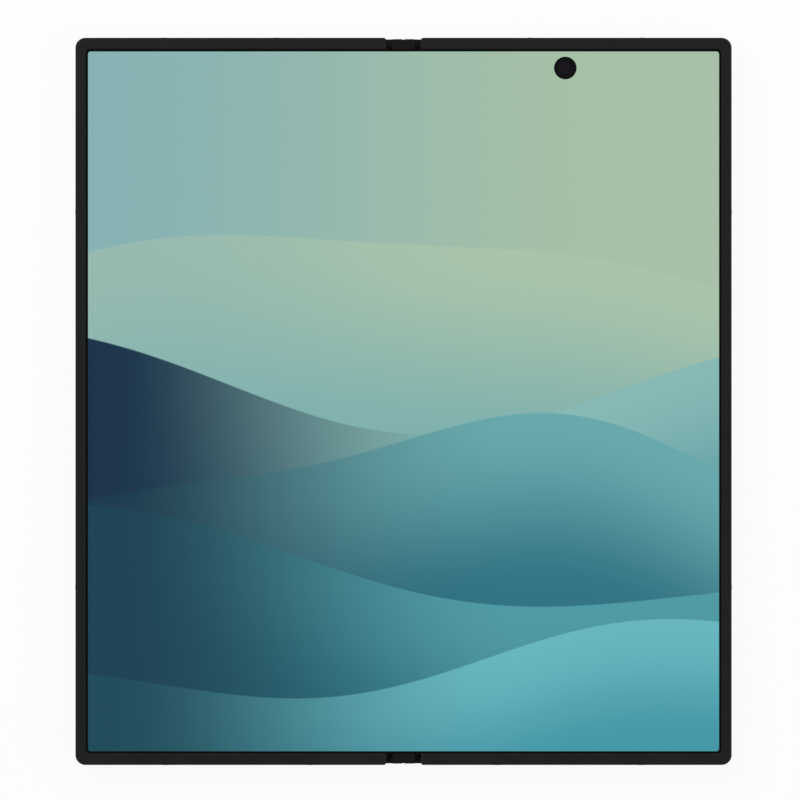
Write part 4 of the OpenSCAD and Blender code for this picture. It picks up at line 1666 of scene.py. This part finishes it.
@dataclass
class Inside:
    """What the halves and the hinge hold: the frame's own shapes, each with its finish."""

    def build(self) -> None:
        """Dresses every inner node."""
        coil = Span.of("charging_coil").middle[:2]
        kit: list[tuple[Any, list[str]]] = [
            (Brushed("hinge_steel", srgb("9a9ca0"), (1.0, 0.2, 1.0), 0.3),
             ["hinge_arms_right", "hinge_arms_left", "hinge_brackets"]),
            (Brushed("stiffener", srgb("8b8f92"), (0.08, 1.0, 1.0), 0.35),
             ["support_plate_right", "support_plate_left"]),
            (Brushed("pin_steel", srgb("c2c5c8"), (1.0, 0.1, 1.0), 0.16),
             ["hinge_pins", "idler_pins", "friction_washers"]),
            (Blasted("shield_tin", srgb("a9abad"), 1.0, 0.38, 0.01),
             ["board_shield", "card_reader", "usb_socket", "vibration_motor", "microphones"]),
            (Blasted("screw_steel", srgb("85888c"), 1.0, 0.32),
             ["board_screws", "hinge_screws_right", "hinge_screws_left"]),
            (Blasted("gear_brass", srgb("b5a05a"), 1.0, 0.3),
             ["idler_gear_left", "idler_gear_right"]),
            (Moulded("inner_black", srgb("26282b")),
             ["bottom_speaker", "top_speaker", "key_switches"]),
            (Moulded("panel_back", srgb("14161a"), 0.35, 0.001), ["cover_display"]),
            (SolderMask("board_mask", srgb("1d4a33")), ["main_board", "charging_board", "sub_board"]),
            (FoilWrap("cell_foil", srgb("35373a")), ["battery_right", "battery_left"]),
            (WoundCopper("coil_wire", srgb("b0703a"), coil), ["charging_coil"]),
            (Brushed("cable_film", srgb("a8672c"), (0.05, 1.0, 1.0), 0.35, 0.2),
             ["hinge_cable_right", "hinge_cable_left", "hinge_cable_spine"]),
            (Brushed("magnet_nickel", srgb("7c7f82"), (0.3, 1.0, 1.0), 0.22),
             ["magnets_right", "magnets_left"]),
        ]
        for finish, nodes in kit:
            paint(finish.material(), *nodes)


# ---------------------------------------------------------------- studio


@dataclass(frozen=True)
class Lamp:
    """A square lamp: where it hangs, its side in millimetres and its power in watts."""

    name: str
    place: Place
    side: float
    power: float

    def hang(self) -> None:
        """Adds the lamp to the scene, pointed at the phone."""
        data = bpy.data.lights.new(self.name, "AREA")
        data.size = self.side * MM
        data.energy = self.power
        lamp = bpy.data.objects.new(self.name, data)
        bpy.context.scene.collection.objects.link(lamp)
        lamp.location = [c * MM for c in self.place]
        lamp.rotation_mode = "QUATERNION"
        lamp.rotation_quaternion = lamp.location.to_track_quat("Z", "Y")


@dataclass
class Studio:
    """Pale floor and backdrop, even grey world light, three soft lamps and the camera.

    The camera looks straight down. The photograph shows 4.58 pixels a millimetre, with the
    phone's middle at phone_px of its 800 pixels.
    """

    pixels_per_mm: float = 4.583
    frame_px: float = 800.0
    phone_px: Point = (403.54, 401.38)
    lens: float = 400.0
    sensor: float = 36.0
    floor_r: float = 3000.0
    wall_h: float = 2500.0
    segments: int = 96
    white: float = 0.92
    fade: Point = (0.2, 1.2)        # metres
    world_light: float = 0.25
    lamps: tuple[Lamp, ...] = (
        Lamp("key_lamp", (-700.0, 500.0, 900.0), 700.0, 7.2),
        Lamp("fill_lamp", (800.0, -200.0, 800.0), 800.0, 4.8),
        Lamp("rim_lamp", (0.0, 900.0, 500.0), 600.0, 3.2),
    )

    def paper(self, name: str, whole: bool) -> bpy.types.Material:
        """Pale paper that camera, glossy and transmission rays see as white.

        The rest of the floor's look is plain paper, which keeps the phone's shadow; the
        share of it fades out with the distance in metres from the phone.

        Args:
            name: the material's name.
            whole: whether it is seen as all white.

        Returns:
            The material.
        """
        book = NodeBook(name)
        rays = book.node("ShaderNodeLightPath", {}, {}).socket.node.outputs
        camera, glossy, through = (
            Signal(book, rays[f"Is {kind} Ray"]) for kind in ("Camera", "Glossy", "Transmission"))
        seen = (camera + glossy + through).least(1.0)
        if not whole:
            x, y, _ = book.parts(book.spot())
            far = ((x ** 2 + y ** 2) ** 0.5).step(*self.fade)
            seen = seen * (self.white + (1 - self.white) * far)
        matt = book.node("ShaderNodeBsdfDiffuse", {}, {"Color": (0.9, 0.9, 0.9)})
        glow = book.node("ShaderNodeEmission", {}, {"Color": (1.0, 1.0, 1.0), "Strength": 1.0})
        return book.end(book.node("ShaderNodeMixShader", {}, {0: seen, 1: matt, 2: glow}))

    def room(self) -> None:
        """A round floor at the phone's lowest point, and the backdrop round it, open on top."""
        rim = at_height(circle((0.0, 0.0), self.floor_r, self.segments), 0.0)
        floor = Shell("floor")
        floor.flat(floor.add(rim))
        wall = Shell("backdrop")
        wall.loft([rim, rim + np.array([0.0, 0.0, self.wall_h])])
        for shell in (floor, wall):
            made = shell.build()
            dress(made, self.paper(f"{shell.name}_paper", shell is wall))

    def world(self) -> None:
        """Even grey light from all round."""
        book = NodeBook("studio", Owner.WORLD)
        light = {"Color": (1.0, 1.0, 1.0), "Strength": self.world_light}
        bpy.context.scene.world = book.end(book.node("ShaderNodeBackground", {}, light))

    def camera(self, front: float) -> None:
        """The camera above the phone's front face.

        Args:
            front: height of that face.
        """
        data = bpy.data.cameras.new("camera")
        data.lens, data.sensor_width = self.lens, self.sensor
        data.clip_start, data.clip_end = 0.01, 100.0        # metres
        camera = bpy.data.objects.new("camera", data)
        bpy.context.scene.collection.objects.link(camera)
        middle, width = self.frame_px / 2, self.frame_px / self.pixels_per_mm
        x = (middle - self.phone_px[0]) / self.pixels_per_mm
        y = (self.phone_px[1] - middle) / self.pixels_per_mm
        camera.location = (x * MM, y * MM, (front + width * self.lens / self.sensor) * MM)
        bpy.context.scene.camera = camera

    def build(self, front: float) -> None:
        """Sets up the whole studio.

        Args:
            front: height of the phone's front face.
        """
        bpy.context.scene.view_settings.view_transform = "Standard"
        self.room()
        self.world()
        for lamp in self.lamps:
            lamp.hang()
        self.camera(front)
        log.info("studio: floor, backdrop, %d lamps and the camera", len(self.lamps))


def main() -> None:
    """Builds the studio and the phone's pieces in order."""
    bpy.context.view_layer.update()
    outline = Outline.read()
    Studio().build(outline.bezel.z1)
    InnerScreen(outline).build()
    Bezels(outline).build()
    Frames().build()
    RearGlass().build()
    RearCameras().build()
    Keys().build()
    Spine().build()
    Inside().build()


if __name__ == "__main__":
    main()
